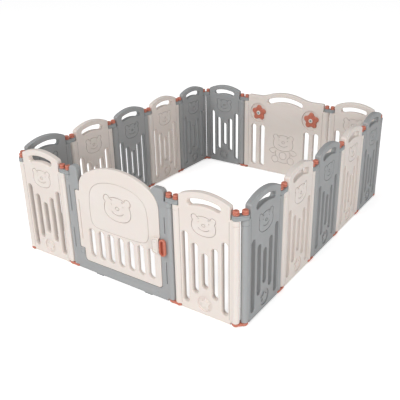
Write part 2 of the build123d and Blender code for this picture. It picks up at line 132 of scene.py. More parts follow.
@dataclass(frozen=True)
class MouldedPlastic:
    """Moulded thermoplastic: satin skin, faint flow tone and a fine matt grain.

    The tone drifts slowly where the melt cooled unevenly, edges are a little rubbed,
    hollows, creases and joints get painted shade from a darker colour,
    and the grain keeps highlights soft.
    """

    name: str
    colour: str
    tone: str
    rubbed: str
    # Darker colour laid into concave hollows, creases and joints as painted shade.
    painted_crevice_shade: str
    roughness: float = 0.46
    roughness_drift: float = 0.08
    ior: float = 1.53
    drift_mm: float = 190.0
    sink_mm: float = 42.0
    sink_depth_mm: float = 0.10
    grain_mm: float = 1.6
    grain_depth_mm: float = 0.035
    subsurface: float = 0.06
    subsurface_mm: float = 4.0

    def build(self) -> bpy.types.Material:
        """Make the material's node tree.

        Returns:
            The new material.
        """
        material = bpy.data.materials.new(self.name)
        material.use_nodes = True
        tree = material.node_tree
        tree.nodes.clear()
        where = add_node(tree, "ShaderNodeTexCoord").outputs["Object"]
        drift = add_node(tree, "ShaderNodeTexNoise", Vector=where,
                         Scale=per_metre(self.drift_mm), Detail=3.0)
        tones = add_node(tree, "ShaderNodeMix", {"data_type": "RGBA"},
                         Factor=drift.outputs["Fac"])
        tones.inputs[6].default_value = linear(self.colour)
        tones.inputs[7].default_value = linear(self.tone)
        edges = add_node(tree, "ShaderNodeNewGeometry").outputs["Pointiness"]
        rub = add_node(tree, "ShaderNodeMapRange", Value=edges, From_Min=0.52, From_Max=0.60,
                       To_Min=0.0, To_Max=0.5)
        worn = add_node(tree, "ShaderNodeMix", {"data_type": "RGBA"},
                        Factor=rub.outputs["Result"])
        tree.links.new(tones.outputs[2], worn.inputs[6])
        worn.inputs[7].default_value = linear(self.rubbed)
        # Painted shade: vertices with low Pointiness (grooves, slot corners, where posts meet the
        # board) are mixed toward the darker colour.
        low = add_node(tree, "ShaderNodeMapRange", Value=edges, From_Min=0.36, From_Max=0.485,
                       To_Min=0.85, To_Max=0.0)
        crevice_shaded = add_node(tree, "ShaderNodeMix", {"data_type": "RGBA"},
                          Factor=low.outputs["Result"])
        tree.links.new(worn.outputs[2], crevice_shaded.inputs[6])
        crevice_shaded.inputs[7].default_value = linear(self.painted_crevice_shade)
        dull = add_node(tree, "ShaderNodeTexNoise", Vector=where,
                        Scale=per_metre(self.drift_mm / 3), Detail=4.0)
        rough = add_node(tree, "ShaderNodeMapRange", Value=dull.outputs["Fac"],
                         From_Min=0.3, From_Max=0.7,
                         To_Min=self.roughness - self.roughness_drift,
                         To_Max=self.roughness + self.roughness_drift)
        sink = add_node(tree, "ShaderNodeTexNoise", Vector=where,
                        Scale=per_metre(self.sink_mm), Detail=1.0)
        grain = add_node(tree, "ShaderNodeTexNoise", Vector=where,
                         Scale=per_metre(self.grain_mm), Detail=2.0, Roughness=0.6)
        waves = add_node(tree, "ShaderNodeBump", Height=sink.outputs["Fac"],
                         Distance=self.sink_depth_mm * MM, Strength=0.6)
        skin = add_node(tree, "ShaderNodeBump", Height=grain.outputs["Fac"],
                        Distance=self.grain_depth_mm * MM, Strength=0.5,
                        Normal=waves.outputs["Normal"])
        shader = add_node(tree, "ShaderNodeBsdfPrincipled",
                          Base_Color=crevice_shaded.outputs[2], Roughness=rough.outputs["Result"],
                          Normal=skin.outputs["Normal"], IOR=self.ior,
                          Subsurface_Weight=self.subsurface,
                          Subsurface_Scale=self.subsurface_mm * MM)
        add_node(tree, "ShaderNodeOutputMaterial", Surface=shader.outputs["BSDF"])
        return material


@dataclass(frozen=True)
class PlatedSteel:
    """Zinc-plated steel wire and pins: bright, with fine drawing lines along the metal."""

    name: str
    colour: str
    roughness: float = 0.28
    line_mm: float = 0.6

    def build(self) -> bpy.types.Material:
        """Make the material's node tree.

        Returns:
            The new material.
        """
        material = bpy.data.materials.new(self.name)
        material.use_nodes = True
        tree = material.node_tree
        tree.nodes.clear()
        where = add_node(tree, "ShaderNodeTexCoord").outputs["Object"]
        lines = add_node(tree, "ShaderNodeTexNoise", Vector=where,
                         Scale=per_metre(self.line_mm), Detail=3.0)
        rough = add_node(tree, "ShaderNodeMapRange", Value=lines.outputs["Fac"],
                         To_Min=self.roughness - 0.06, To_Max=self.roughness + 0.1)
        bump = add_node(tree, "ShaderNodeBump", Height=lines.outputs["Fac"],
                        Distance=0.01 * MM, Strength=0.3)
        shader = add_node(tree, "ShaderNodeBsdfPrincipled", Base_Color=linear(self.colour),
                          Metallic=1.0, Roughness=rough.outputs["Result"],
                          Normal=bump.outputs["Normal"])
        add_node(tree, "ShaderNodeOutputMaterial", Surface=shader.outputs["BSDF"])
        return material


class Finish(Enum):
    """Every finish on the pen, named for the real material."""

    # Each plastic gives its colour, tone, rubbed-edge colour, and the darker colour of the painted
    # shade in concave hollows and joints.
    IVORY_PANEL = MouldedPlastic("ivory_blow_moulded_polyethylene", "#EFE6DF", "#ECE1D9",
                                 "#F4EEE9", "#9C918B")
    GRAY_PANEL = MouldedPlastic("gray_blow_moulded_polyethylene", "#A9AAAB", "#A3A5A6",
                                "#B6B8B8", "#5F6163")
    GRAY_BRACKET = MouldedPlastic("gray_moulded_polypropylene", "#A2A6A7", "#9A9FA1",
                                  "#B4B7B8", "#5F6364", roughness=0.4, drift_mm=60.0, sink_mm=18.0)
    CORAL = MouldedPlastic("coral_moulded_polypropylene", "#D27C66", "#C9735D", "#DC9582", "#8A4434",
                           roughness=0.4, drift_mm=60.0, sink_mm=18.0, subsurface=0.08)
    CAP = MouldedPlastic("ivory_moulded_abs", "#EFEAE4", "#EAE4DD", "#F5F2EE", "#A39C95",
                         roughness=0.34, drift_mm=40.0, sink_mm=14.0)
    CAP_DOT = MouldedPlastic("sage_moulded_abs", "#8E9FA0", "#87999A", "#A0AFB0", "#5D6A6B",
                             roughness=0.34, drift_mm=40.0, sink_mm=14.0)
    PAD = MouldedPlastic("milky_soft_elastomer", "#E6DFD8", "#DDD6CE", "#EDE8E2", "#A69F98",
                         roughness=0.52, drift_mm=30.0, sink_mm=10.0, subsurface=0.35,
                         subsurface_mm=6.0)
    FOOT = MouldedPlastic("gray_moulded_rubber", "#8D8E8F", "#868788", "#9A9B9B", "#5A5B5C",
                          roughness=0.62, drift_mm=40.0, grain_mm=1.0, subsurface=0.0)
    STEEL = PlatedSteel("zinc_plated_steel", "#C3C5C8")


class Finishes:
    """The built materials, one for each finish."""

    def __init__(self) -> None:
        """Build every material once."""
        self._built = {finish: finish.value.build() for finish in Finish}

    def __getitem__(self, finish: Finish) -> bpy.types.Material:
        """The material of a finish."""
        return self._built[finish]


# ---- drawing in the face of a panel ---------------------------------------------------


def arc(centre: Point, radius: float, start: float, end: float, step: float = 6.0,
        ends: bool = True) -> list[Point]:
    """Points along a circular arc.

    Args:
        centre: Centre of the arc.
        radius: Its radius.
        start: First angle in degrees.
        end: Last angle in degrees; smaller than start turns clockwise.
        step: Longest distance between points, also kept to 9 degrees.
        ends: Whether the two end points are given.

    Returns:
        The points in order.
    """
    sweep = math.radians(end - start)
    count = max(2, math.ceil(abs(sweep) * radius / step), math.ceil(abs(end - start) / 9))
    picks = range(count + 1) if ends else range(1, count)
    return [(centre[0] + radius * math.cos(math.radians(start) + sweep * i / count),
             centre[1] + radius * math.sin(math.radians(start) + sweep * i / count))
            for i in picks]


def circle(centre: Point, radius: float, step: float = 6.0) -> list[Point]:
    """Closed circle without a repeated point."""
    return arc(centre, radius, 0, 360, step)[:-1]


def upright_slot(x: float, low: float, high: float, width: float) -> list[Point]:
    """Contour of a vertical round-ended slot."""
    r = width / 2
    return arc((x, high - r), r, 0, 180, 3.5) + arc((x, low + r), r, 180, 360, 3.5)


def curved_slot(x: float, z: float, half: float, sag: float, width: float) -> list[Point]:
    """Contour of a round-ended slot that follows a flat arc with its crown at (x, z)."""
    radius = (half ** 2 + sag ** 2) / (2 * sag)
    turn = math.degrees(math.asin(half / radius))
    centre = (x, z - radius)
    outline = []
    for side, a in ((1, 90 - turn), (-1, 90 + turn)):
        start = a - 180 if side > 0 else a
        tip = (centre[0] + radius * math.cos(math.radians(a)),
               centre[1] + radius * math.sin(math.radians(a)))
        outline += arc(tip, width / 2, start, start + 180, 3.5)
        outline += arc(centre, radius + side * width / 2, a, a + side * 2 * turn, 9.0,
                       ends=False)
    return outline


def rounded(corners: Sequence[tuple[float, float, float]]) -> list[Point]:
    """Closed outline with a radius at each corner.

    Args:
        corners: Corner x, z and radius, in order; a radius of zero keeps the point.

    Returns:
        The outline's points.
    """
    outline: list[Point] = []
    for i, (x, z, radius) in enumerate(corners):
        here = Vector((x, z))
        to_last = (Vector(corners[i - 1][:2]) - here).normalized()
        to_next = (Vector(corners[(i + 1) % len(corners)][:2]) - here).normalized()
        if radius <= 0:
            outline.append((x, z))
            continue
        half = to_last.angle(to_next) / 2
        centre = here + (to_last + to_next).normalized() * (radius / math.sin(half))
        first = here + to_last * (radius / math.tan(half)) - centre
        last = here + to_next * (radius / math.tan(half)) - centre
        start = math.degrees(math.atan2(first.y, first.x))
        sweep = (math.degrees(math.atan2(last.y, last.x)) - start + 180) % 360 - 180
        outline += arc(tuple(centre), radius, start, start + sweep, 3.5)
    return outline


def arch(left: float, right: float, spring: float, peak: float, shoulder: float,
         grow: float = 0.0) -> list[Point]:
    """Arched top from right to left with rounded shoulders.

    Args:
        left: Left side.
        right: Right side.
        spring: Height where the bare arch would meet the sides.
        peak: Height of the crown.
        shoulder: Radius between side and arch.
        grow: Distance by which the whole line is moved outwards.

    Returns:
        Points from the right side over the crown to the left side.
    """
    mid, half, rise = (left + right) / 2, (right - left) / 2, peak - spring
    radius = (half ** 2 + rise ** 2) / (2 * rise)
    centre = (mid, peak - radius)
    dx = half - shoulder
    dz = math.sqrt((radius - shoulder) ** 2 - dx ** 2)
    lean = math.degrees(math.atan2(dz, dx))
    r = shoulder + grow
    return (arc((mid + dx, centre[1] + dz), r, 0, lean, 4.0)
            + arc(centre, radius + grow, lean, 180 - lean, 9.0, ends=False)
            + arc((mid - dx, centre[1] + dz), r, 180 - lean, 180, 4.0))


def smooth(points: Sequence[Point], closed: bool, step: float = 4.0) -> list[Point]:
    """Flowing line through points, by Catmull-Rom.

    Args:
        points: Points that the line passes.
        closed: Whether it returns to its start.
        step: Distance between the new points.

    Returns:
        Closely spaced points.
    """
    count = len(points)
    line: list[Point] = []
    for i in range(count if closed else count - 1):
        p = [Vector(points[(i + k) % count] if closed
                    else points[min(max(i + k, 0), count - 1)]) for k in (-1, 0, 1, 2)]
        parts = max(2, round((p[2] - p[1]).length / step))
        for j in range(parts):
            t = j / parts
            spot = 0.5 * (2 * p[1] + (p[2] - p[0]) * t
                          + (2 * p[0] - 5 * p[1] + 4 * p[2] - p[3]) * t ** 2
                          + (3 * p[1] - p[0] - 3 * p[2] + p[3]) * t ** 3)
            line.append((spot.x, spot.y))
    if not closed:
        line.append(tuple(points[-1]))
    return line


# ---- making meshes --------------------------------------------------------------------


def mesh_of(thing: bpy.types.Object) -> bpy.types.Mesh:
    """Evaluated mesh of a helper object, which is then removed with its data."""
    bpy.context.scene.collection.objects.link(thing)
    graph = bpy.context.evaluated_depsgraph_get()
    graph.update()
    mesh = bpy.data.meshes.new_from_object(thing.evaluated_get(graph), depsgraph=graph)
    data = thing.data
    bpy.data.objects.remove(thing)
    if isinstance(data, bpy.types.Mesh):
        bpy.data.meshes.remove(data)
    else:
        bpy.data.curves.remove(data)
    return mesh


def merged(mesh: bpy.types.Mesh, gap_mm: float = 0.004) -> bpy.types.Mesh:
    """Merge doubles, drop flat slivers and point every face outwards, in place."""
    work = bmesh.new()
    work.from_mesh(mesh)
    bmesh.ops.remove_doubles(work, verts=work.verts, dist=gap_mm * MM)
    bmesh.ops.dissolve_degenerate(work, edges=work.edges, dist=gap_mm * MM)
    bmesh.ops.recalc_face_normals(work, faces=work.faces)
    work.to_mesh(mesh)
    work.free()
    return mesh


def slab(contours: Sequence[Sequence[Point]], front: float, back: float,
         rounding: float, segments: int = 3) -> bpy.types.Mesh:
    """Plate with holes and rounded edges.

    Args:
        contours: Outline and holes in the panel's face, in millimetres.
        front: y of the front face.
        back: y of the back face.
        rounding: Edge radius.
        segments: Facets in the rounding.

    Returns:
        Closed mesh in the panel's own frame, in metres.
    """
    curve = bpy.data.curves.new("slab", "CURVE")
    curve.dimensions = "2D"
    curve.fill_mode = "BOTH"
    curve.extrude = ((back - front) / 2 - rounding) * MM
    curve.bevel_depth = rounding * MM
    curve.bevel_resolution = segments
    curve.offset = -rounding * MM
    for contour in contours:
        line = curve.splines.new("POLY")
        line.points.add(len(contour) - 1)
        for spot, (x, z) in zip(line.points, contour):
            spot.co = (x * MM, z * MM, 0.0, 1.0)
        line.use_cyclic_u = True
    mesh = mesh_of(bpy.data.objects.new("slab", curve))
    mesh.transform(Matrix.Translation((0, (front + back) / 2 * MM, 0))
                   @ Matrix.Rotation(math.pi / 2, 4, "X"))
    return merged(mesh)


def tube(line: Sequence[Point], y: float, radius: float, closed: bool,
         sides: int = 2) -> bpy.types.Mesh:
    """Round bar that follows a line in the panel's face, at depth y."""
    curve = bpy.data.curves.new("tube", "CURVE")
    curve.dimensions = "3D"
    curve.bevel_depth = radius * MM
    curve.bevel_resolution = sides
    curve.use_fill_caps = True
    run = curve.splines.new("POLY")
    run.points.add(len(line) - 1)
    for spot, (x, z) in zip(run.points, line):
        spot.co = (x * MM, y * MM, z * MM, 1.0)
    run.use_cyclic_u = closed
    return merged(mesh_of(bpy.data.objects.new("tube", curve)))


def turned(profile: Sequence[Point], centre: Point, sides: int = 40,
           along_y: bool = False) -> bpy.types.Mesh:
    """Solid of revolution.

    Args:
        profile: Radius and height pairs from the bottom to the top, ends on the axis.
        centre: x and y of an upright axis, or x and z of an axis through the face.
        sides: Facets around.
        along_y: Whether the axis runs through the thickness, heights being y.

    Returns:
        Closed mesh in metres.
    """
    work = bmesh.new()
    rings = []
    for radius, height in profile:
        count = 1 if radius < 1e-6 else sides
        ring = []
        for k in range(count):
            a = 2 * math.pi * k / sides
            u, v = radius * math.cos(a), radius * math.sin(a)
            spot = ((centre[0] + u, height, centre[1] + v) if along_y
                    else (centre[0] + u, centre[1] + v, height))
            ring.append(work.verts.new(Vector(spot) * MM))
        rings.append(ring)
    for low, high in zip(rings, rings[1:]):
        for k in range(sides):
            n = (k + 1) % sides
            quad = [low[k % len(low)], low[n % len(low)],
                    high[n % len(high)], high[k % len(high)]]
            work.faces.new(list(dict.fromkeys(quad)))
    bmesh.ops.recalc_face_normals(work, faces=work.faces)
    mesh = bpy.data.meshes.new("turned")
    work.to_mesh(mesh)
    work.free()
    return mesh


def joined(parts: Iterable[bpy.types.Mesh]) -> bpy.types.Mesh:
    """One mesh that holds all the parts, which are removed."""
    work = bmesh.new()
    for part in parts:
        work.from_mesh(part)
        bpy.data.meshes.remove(part)
    mesh = bpy.data.meshes.new("joined")
    work.to_mesh(mesh)
    work.free()
    return mesh


class Cut(Enum):
    """How two solids are combined."""

    UNITE = "UNION"
    REMOVE = "DIFFERENCE"


def combined(base: bpy.types.Mesh, tools: Sequence[bpy.types.Mesh],
             how: Cut) -> bpy.types.Mesh:
    """Unite solids with the base or cut them out of it.

    Args:
        base: Closed mesh, used up.
        tools: Closed meshes, used up; they may overlap each other.
        how: Unite or remove.

    Returns:
        The resulting closed mesh.
    """
    body = bpy.data.objects.new("base", base)
    knife = bpy.data.objects.new("knife", joined(tools))
    bpy.context.scene.collection.objects.link(knife)
    step = body.modifiers.new("combine", "BOOLEAN")
    step.operation = how.value
    step.solver = "EXACT"
    step.use_self = True
    step.object = knife
    mesh = mesh_of(body)
    data = knife.data
    bpy.data.objects.remove(knife)
    bpy.data.meshes.remove(data)
    return merged(mesh)


def shaded(mesh: bpy.types.Mesh, crease_deg: float = 38.0) -> bpy.types.Mesh:
    """Smooth shading that keeps flats flat and creases sharp."""
    mesh.materials.clear()
    mesh.shade_smooth()
    mesh.set_sharp_from_angle(angle=math.radians(crease_deg))
    thing = bpy.data.objects.new("shade", mesh)
    weight = thing.modifiers.new("weight", "WEIGHTED_NORMAL")
    weight.keep_sharp = True
    return mesh_of(thing)


# ---- pieces that repeat or follow a path ------------------------------------------------


class Recipe:
    """Geometry Nodes tree that is run once and leaves a plain mesh."""

    def __init__(self, name: str, inputs: dict[str, float | int]) -> None:
        """Start the tree with its named inputs.

        Args:
            name: Name of the tree.
            inputs: Value of every named input; whole numbers make integer sockets.
        """
        self.tree = bpy.data.node_groups.new(name, "GeometryNodeTree")
        self.values: dict[str, float | int] = {}
        face = self.tree.interface
        face.new_socket("Geometry", in_out="INPUT", socket_type="NodeSocketGeometry")
        face.new_socket("Geometry", in_out="OUTPUT", socket_type="NodeSocketGeometry")
        for label, value in inputs.items():
            kind = "NodeSocketInt" if isinstance(value, int) else "NodeSocketFloat"
            socket = face.new_socket(label, in_out="INPUT", socket_type=kind)
            self.values[socket.identifier] = value
        self.start = self.tree.nodes.new("NodeGroupInput")

    def given(self, label: str) -> bpy.types.NodeSocket:
        """Socket that carries a named input."""
        return self.start.outputs[label]

    def add(self, kind: str, settings: dict | None = None, **inputs: object) -> bpy.types.Node:
        """Add a node to the tree, as add_node does."""
        return add_node(self.tree, kind, settings, **inputs)

    def run(self, last: bpy.types.NodeSocket,
            base: bpy.types.ID | None = None) -> bpy.types.Mesh:
        """Close the tree and run it.

        Args:
            last: Geometry that the tree leaves.
            base: Mesh or curve that goes in, used up; nothing where the tree makes its own.

        Returns:
            Plain mesh in metres.
        """
        real = self.add("GeometryNodeRealizeInstances", Geometry=last)
        worn = self.add("GeometryNodeSetMaterial", Geometry=real.outputs["Geometry"])
        end = self.tree.nodes.new("NodeGroupOutput")
        self.tree.links.new(worn.outputs["Geometry"], end.inputs["Geometry"])
        name = self.tree.name
        holder = bpy.data.objects.new(name, base or bpy.data.meshes.new(name))
        step = holder.modifiers.new(name, "NODES")
        step.node_group = self.tree
        for identifier, value in self.values.items():
            step[identifier] = value
        mesh = mesh_of(holder)
        bpy.data.node_groups.remove(self.tree)
        mesh.materials.clear()
        return merged(mesh, 0.001)


def bead(line: Sequence[Point], radius: float, sides: int = 6) -> bpy.types.Mesh:
    """Raised line that follows a closed outline, such as the parting line of a moulding.

    Args:
        line: Outline in the panel's face, in millimetres.
        radius: Radius of the line.
        sides: Facets around it.

    Returns:
        Closed mesh in metres at half thickness.
    """
    curve = bpy.data.curves.new("bead", "CURVE")
    curve.dimensions = "3D"
    path = curve.splines.new("POLY")
    path.points.add(len(line) - 1)
    for spot, (x, z) in zip(path.points, line):
        spot.co = (x * MM, 0.0, z * MM, 1.0)
    path.use_cyclic_u = True
    recipe = Recipe("parting_line", {"Radius": radius * MM, "Sides": sides})
    profile = recipe.add("GeometryNodeCurvePrimitiveCircle", Resolution=recipe.given("Sides"),
                         Radius=recipe.given("Radius"))
    swept = recipe.add("GeometryNodeCurveToMesh", Curve=recipe.start.outputs["Geometry"],
                       Profile_Curve=profile.outputs["Curve"])
    return recipe.run(swept.outputs["Mesh"], curve)


def coil(radius: float, wire: float, turns: float, height: float) -> bpy.types.Mesh:
    """Round wire wound about z from the origin up.

    Args:
        radius: Radius of the winding.
        wire: Radius of the wire.
        turns: Number of turns.
        height: Height of the winding.

    Returns:
        Closed mesh in metres.
    """
    recipe = Recipe("spring", {"Radius": radius * MM, "Wire": wire * MM,
                               "Turns": float(turns), "Height": height * MM})
    path = recipe.add("GeometryNodeCurveSpiral", Resolution=24,
                      Rotations=recipe.given("Turns"), Start_Radius=recipe.given("Radius"),
                      End_Radius=recipe.given("Radius"), Height=recipe.given("Height"))
    profile = recipe.add("GeometryNodeCurvePrimitiveCircle", Resolution=10,
                         Radius=recipe.given("Wire"))
    swept = recipe.add("GeometryNodeCurveToMesh", Curve=path.outputs["Curve"],
                       Profile_Curve=profile.outputs["Curve"], Fill_Caps=True)
    return recipe.run(swept.outputs["Mesh"])


def ribs(radius: float, rib: float, span: Point, count: int) -> bpy.types.Mesh:
    """Upright grip ribs round a cap on the z axis.

    Args:
        radius: Radius of the circle that the ribs stand on.
        rib: Radius of one rib.
        span: Lowest and highest z of the ribs.
        count: Number of ribs.

    Returns:
        Closed meshes as one, in metres.
    """
    recipe = Recipe("grip_ribs", {"Radius": radius * MM, "Rib": rib * MM, "Count": count,
                                  "Length": (span[1] - span[0]) * MM,
                                  "Level": (span[0] + span[1]) / 2 * MM})
    spots = recipe.add("GeometryNodeMeshCircle", Vertices=recipe.given("Count"),
                       Radius=recipe.given("Radius"))
    bar = recipe.add("GeometryNodeMeshCylinder", Vertices=8, Radius=recipe.given("Rib"),
                     Depth=recipe.given("Length"))
    level = recipe.add("ShaderNodeCombineXYZ", Z=recipe.given("Level"))
    lifted = recipe.add("GeometryNodeTransform", Geometry=bar.outputs["Mesh"],
                        Translation=level.outputs["Vector"])
    rows = recipe.add("GeometryNodeInstanceOnPoints", Points=spots.outputs["Mesh"],
                      Instance=lifted.outputs["Geometry"])
    return recipe.run(rows.outputs["Instances"])


def row(base: bpy.types.Mesh, count: int, step: tuple[float, float, float]) -> bpy.types.Mesh:
    """Copies of a mesh in a straight row.

    Args:
        base: Mesh of the first copy, in place; used up.
        count: Number of copies.
        step: Move from one copy to the next, in millimetres.

    Returns:
        All copies as one mesh.
    """
    recipe = Recipe("row", {"Count": count, "X": step[0] * MM, "Y": step[1] * MM,
                            "Z": step[2] * MM})
    move = recipe.add("ShaderNodeCombineXYZ", X=recipe.given("X"), Y=recipe.given("Y"),
                      Z=recipe.given("Z"))
    spots = recipe.add("GeometryNodeMeshLine", Count=recipe.given("Count"),
                       Offset=move.outputs["Vector"])
    rows = recipe.add("GeometryNodeInstanceOnPoints", Points=spots.outputs["Mesh"],
                      Instance=recipe.start.outputs["Geometry"])
    return recipe.run(rows.outputs["Instances"], base)


# ---- where things stand -----------------------------------------------------------------


@dataclass(frozen=True)
class Place:
    """Frame of one ring member: pivot A, heading and length, in millimetres."""

    x: float
    y: float
    heading: float
    pitch: float

    def matrix(self) -> Matrix:
        """Matrix from the member's own frame to the row frame, in metres."""
        return (Matrix.Translation((self.x * MM, self.y * MM, 0))
                @ Matrix.Rotation(math.radians(self.heading), 4, "Z"))

    def far_end(self) -> Point:
        """Pivot B."""
        turn = math.radians(self.heading)
        return (self.x + self.pitch * math.cos(turn), self.y + self.pitch * math.sin(turn))


class Ring:
    """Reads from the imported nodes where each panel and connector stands."""

    HEADINGS = {"front": 0.0, "gate": 0.0, "right": 90.0, "back": 180.0, "activity": 180.0,
                "left": 270.0}
    POST_R = 17.5
    SIDE_PANELS = 5

    def __init__(self, record: dict) -> None:
        """Find every member's place.

        Args:
            record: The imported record, for the bodies.
        """
        self.body_of = {node: body for body, nodes in record["behaviour"]["bodies"].items()
                        for node in nodes}
        order = ["front_panel_left", "gate_left", "gate_frame", "gate_right",
                 "front_panel_right", "front_right", *self._side("right", 1), "back_right",
                 "back_panel_right", "activity_right", "activity_panel", "activity_left",
                 "back_panel_left", "back_left", *self._side("left", -1), "front_left"]
        self.panels = {name: self._panel(name) for name in order if name in self.body_of}
        self.links: dict[str, Place] = {}
        for i, name in enumerate(order):
            if name in self.panels:
                continue
            a = self.panels[order[i - 1]].far_end()
            b = self.panels[order[(i + 1) % len(order)]]
            self.links[name] = Place(*a, math.degrees(math.atan2(b.y - a[1], b.x - a[0])),
                                     math.hypot(b.x - a[0], b.y - a[1]))

    def _side(self, name: str, step: int) -> list[str]:
        """Names along one long side in the order of the walk."""
        numbers = list(range(1, self.SIDE_PANELS + 1))[::step]
        names = [f"{name}_panel_{numbers[0]}"]
        for last, number in zip(numbers, numbers[1:]):
            names += [f"{name}_link_{min(last, number)}", f"{name}_panel_{number}"]
        return names

    def _panel(self, name: str) -> Place:
        """Place of a panel from its node's box."""
        low, high = (tuple(v / MM for v in corner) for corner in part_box(name))
        heading = self.HEADINGS[name.split("_")[0]]
        along = 0 if heading % 180 == 0 else 1
        pitch = high[along] - low[along] - 2 * self.POST_R
        start = [(low[0] + high[0]) / 2, (low[1] + high[1]) / 2]
        forward = heading < 180
        start[along] = low[along] + self.POST_R if forward else high[along] - self.POST_R
        return Place(start[0], start[1], heading, pitch)


class Workshop:
    """Puts finished meshes in place: material, body and node."""

    def __init__(self, ring: Ring, finishes: Finishes) -> None:
        """Keep what every piece needs.

        Args:
            ring: Places and bodies.
            finishes: Built materials.
        """
        self.ring = ring
        self.finishes = finishes

    def fit(self, name: str, mesh: bpy.types.Mesh, place: Place, finish: Finish, slot: str,
            rides: str, replaces: Sequence[str] = ()) -> bpy.types.Object:
        """Make one piece of the pen from a mesh in a member's own frame.

        Args:
            name: Name of the piece.
            mesh: Finished mesh; the piece gets a copy of it.
            place: Member whose frame the mesh is drawn in.
            finish: Material.
            slot: Record slot named for the piece; not used.
            rides: A CAD node on the body that carries the piece.
            replaces: CAD nodes that the piece stands for.

        Returns:
            The object.
        """
        copy = mesh.copy()
        copy.name = name
        copy.materials.clear()
        copy.materials.append(self.finishes[finish])
        copy.transform(place.matrix())
        piece = bpy.data.objects.new(name, copy)
        bpy.context.scene.collection.objects.link(piece)
        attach(piece, self.ring.body_of[rides])
        if replaces:
            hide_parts(*replaces)
        LOG.info("%s: %d triangles", name, sum(len(p.vertices) - 2 for p in copy.polygons))
        return piece


# ---- engraving --------------------------------------------------------------------------


@dataclass(frozen=True)
class Stroke:
    """One engraved line."""

    line: tuple[Point, ...]
    closed: bool = False


@dataclass(frozen=True)
class TeddyFace:
    """A plain teddy's face: round head with two ears, dot eyes, oval nose and a smile."""

    centre: Point
    scale: float

    HALF_HEAD = ((0, 62), (20, 61), (38, 57), (52, 51), (56, 59), (64, 65), (76, 66), (87, 61),
                 (94, 51), (95, 40), (91, 31), (85, 25), (90, 10), (94, -8), (93, -28),
                 (84, -47), (66, -63), (44, -72), (22, -76), (0, -77))
    SMILE = ((-42, -22), (-30, -32), (-14, -38), (2, -39), (18, -37), (32, -31), (43, -22))
    BROW = ((32, 41), (39, 45), (46, 42))
    EYE = (41, 18)
    EYE_R = 4.6
    NOSE_R = (13.0, 9.5)

    def _put(self, spot: Point) -> Point:
        """Drawing point in the panel's face."""
        return (self.centre[0] + spot[0] * self.scale, self.centre[1] + spot[1] * self.scale)

    def head(self) -> list[Point]:
        """Points of the whole head outline."""
        mirror = [(-x, z) for x, z in self.HALF_HEAD[-2:0:-1]]
        return [self._put(p) for p in (*self.HALF_HEAD, *mirror)]

    def strokes(self) -> list[Stroke]:
        """Engraved lines of the face."""
        nose = [self._put((self.NOSE_R[0] * math.cos(a), self.NOSE_R[1] * math.sin(a)))
                for a in (2 * math.pi * k / 20 for k in range(20))]
        lines = [Stroke(tuple(smooth(self.head(), True)), True), Stroke(tuple(nose), True),
                 Stroke(tuple(smooth([self._put(p) for p in self.SMILE], False)))]
        for side in (-1, 1):
            brow = [self._put((side * x, z)) for x, z in self.BROW]
            lines.append(Stroke(tuple(smooth(brow, False))))
        return lines

    def dots(self) -> list[tuple[Point, float]]:
        """Centres and radii of the eyes."""
        return [(self._put((side * self.EYE[0], self.EYE[1])), self.EYE_R * self.scale)
                for side in (-1, 1)]


@dataclass(frozen=True)
class Engraver:
    """Cuts lines and dimples into a face."""

    width: float = 2.6
    sunk: float = 1.8
    DIMPLE = ((0.0, -1.0), (0.5, -0.87), (0.87, -0.5), (1.0, 0.0), (0.87, 0.5), (0.5, 0.87),
              (0.0, 1.0))

    def tools(self, strokes: Iterable[Stroke], dots: Iterable[tuple[Point, float]],
              faces: Sequence[tuple[float, int]]) -> list[bpy.types.Mesh]:
        """Cutters for a drawing.

        Args:
            strokes: Lines to cut.
            dots: Centre and radius of each dimple.
            faces: y of each face and the sign of its outward direction.

        Returns:
            Closed meshes to cut with.
        """
        dots = list(dots)
        made = []
        for y, out in faces:
            depth = y - out * self.sunk
            made += [tube(s.line, depth, self.width, s.closed) for s in strokes]
            for spot, radius in dots:
                ball = [(radius * r, y + radius * h) for r, h in self.DIMPLE]
                made.append(turned(ball, spot, 20, along_y=True))
        return made


# ---- panels -----------------------------------------------------------------------------


@dataclass
class Board:
    """What every panel of the ring shares: thickness, posts, notches and edge lines."""

    pitch: float = 345.0
    half_t: float = 17.5
    notch: float = 23.5
    foot: float = 8.0
    seam_r: float = 0.5
    post_low: float = 23.0
    post_top: float = 590.0
    post_r: float = 20.0
    collar_r: float = 20.5
    collar_h: float = 26.0
    rounding: float = 5.5
    crease_x: float = 27.0

    def posts(self) -> list[bpy.types.Mesh]:
        """Both hinge posts with a collar under the bracket and a groove below it."""
        r, c, low, top = self.post_r, self.collar_r, self.post_low, self.post_top
        neck = top - self.collar_h
        profile = [(0, low), (r - 3, low), (r - 0.9, low + 0.9), (r, low + 3), (r, neck - 4),
                   (r - 1.6, neck - 3), (r - 1.6, neck - 1), (c - 0.5, neck), (c, neck + 1),
                   (c, top - 2), (c - 0.6, top - 0.6), (c - 2, top), (0, top)]
        return [turned(profile, (x, 0.0)) for x in (0.0, self.pitch)]

    def side_b(self) -> list[Point]:
        """Outline at pivot B, from the foot up to the notch above the post."""
        return [(self.pitch - self.notch, self.foot), (self.pitch - self.notch, self.post_low),
                (self.pitch, self.post_low), (self.pitch, self.post_top),
                (self.pitch - self.notch, self.post_top)]

    def side_a(self) -> list[Point]:
        """Outline at pivot A, from the notch above the post down to the foot."""
        return [(self.pitch - x, z) for x, z in reversed(self.side_b())]

    def creases(self) -> list[Stroke]:
        """Shallow upright lines where the board meets the posts."""
        return [Stroke(((x, self.post_low + 14), (x, self.post_top - 10)))
                for x in (self.crease_x, self.pitch - self.crease_x)]

    def faces(self) -> list[tuple[float, int]]:
        """Both faces with their outward direction."""
        return [(-self.half_t, -1), (self.half_t, 1)]


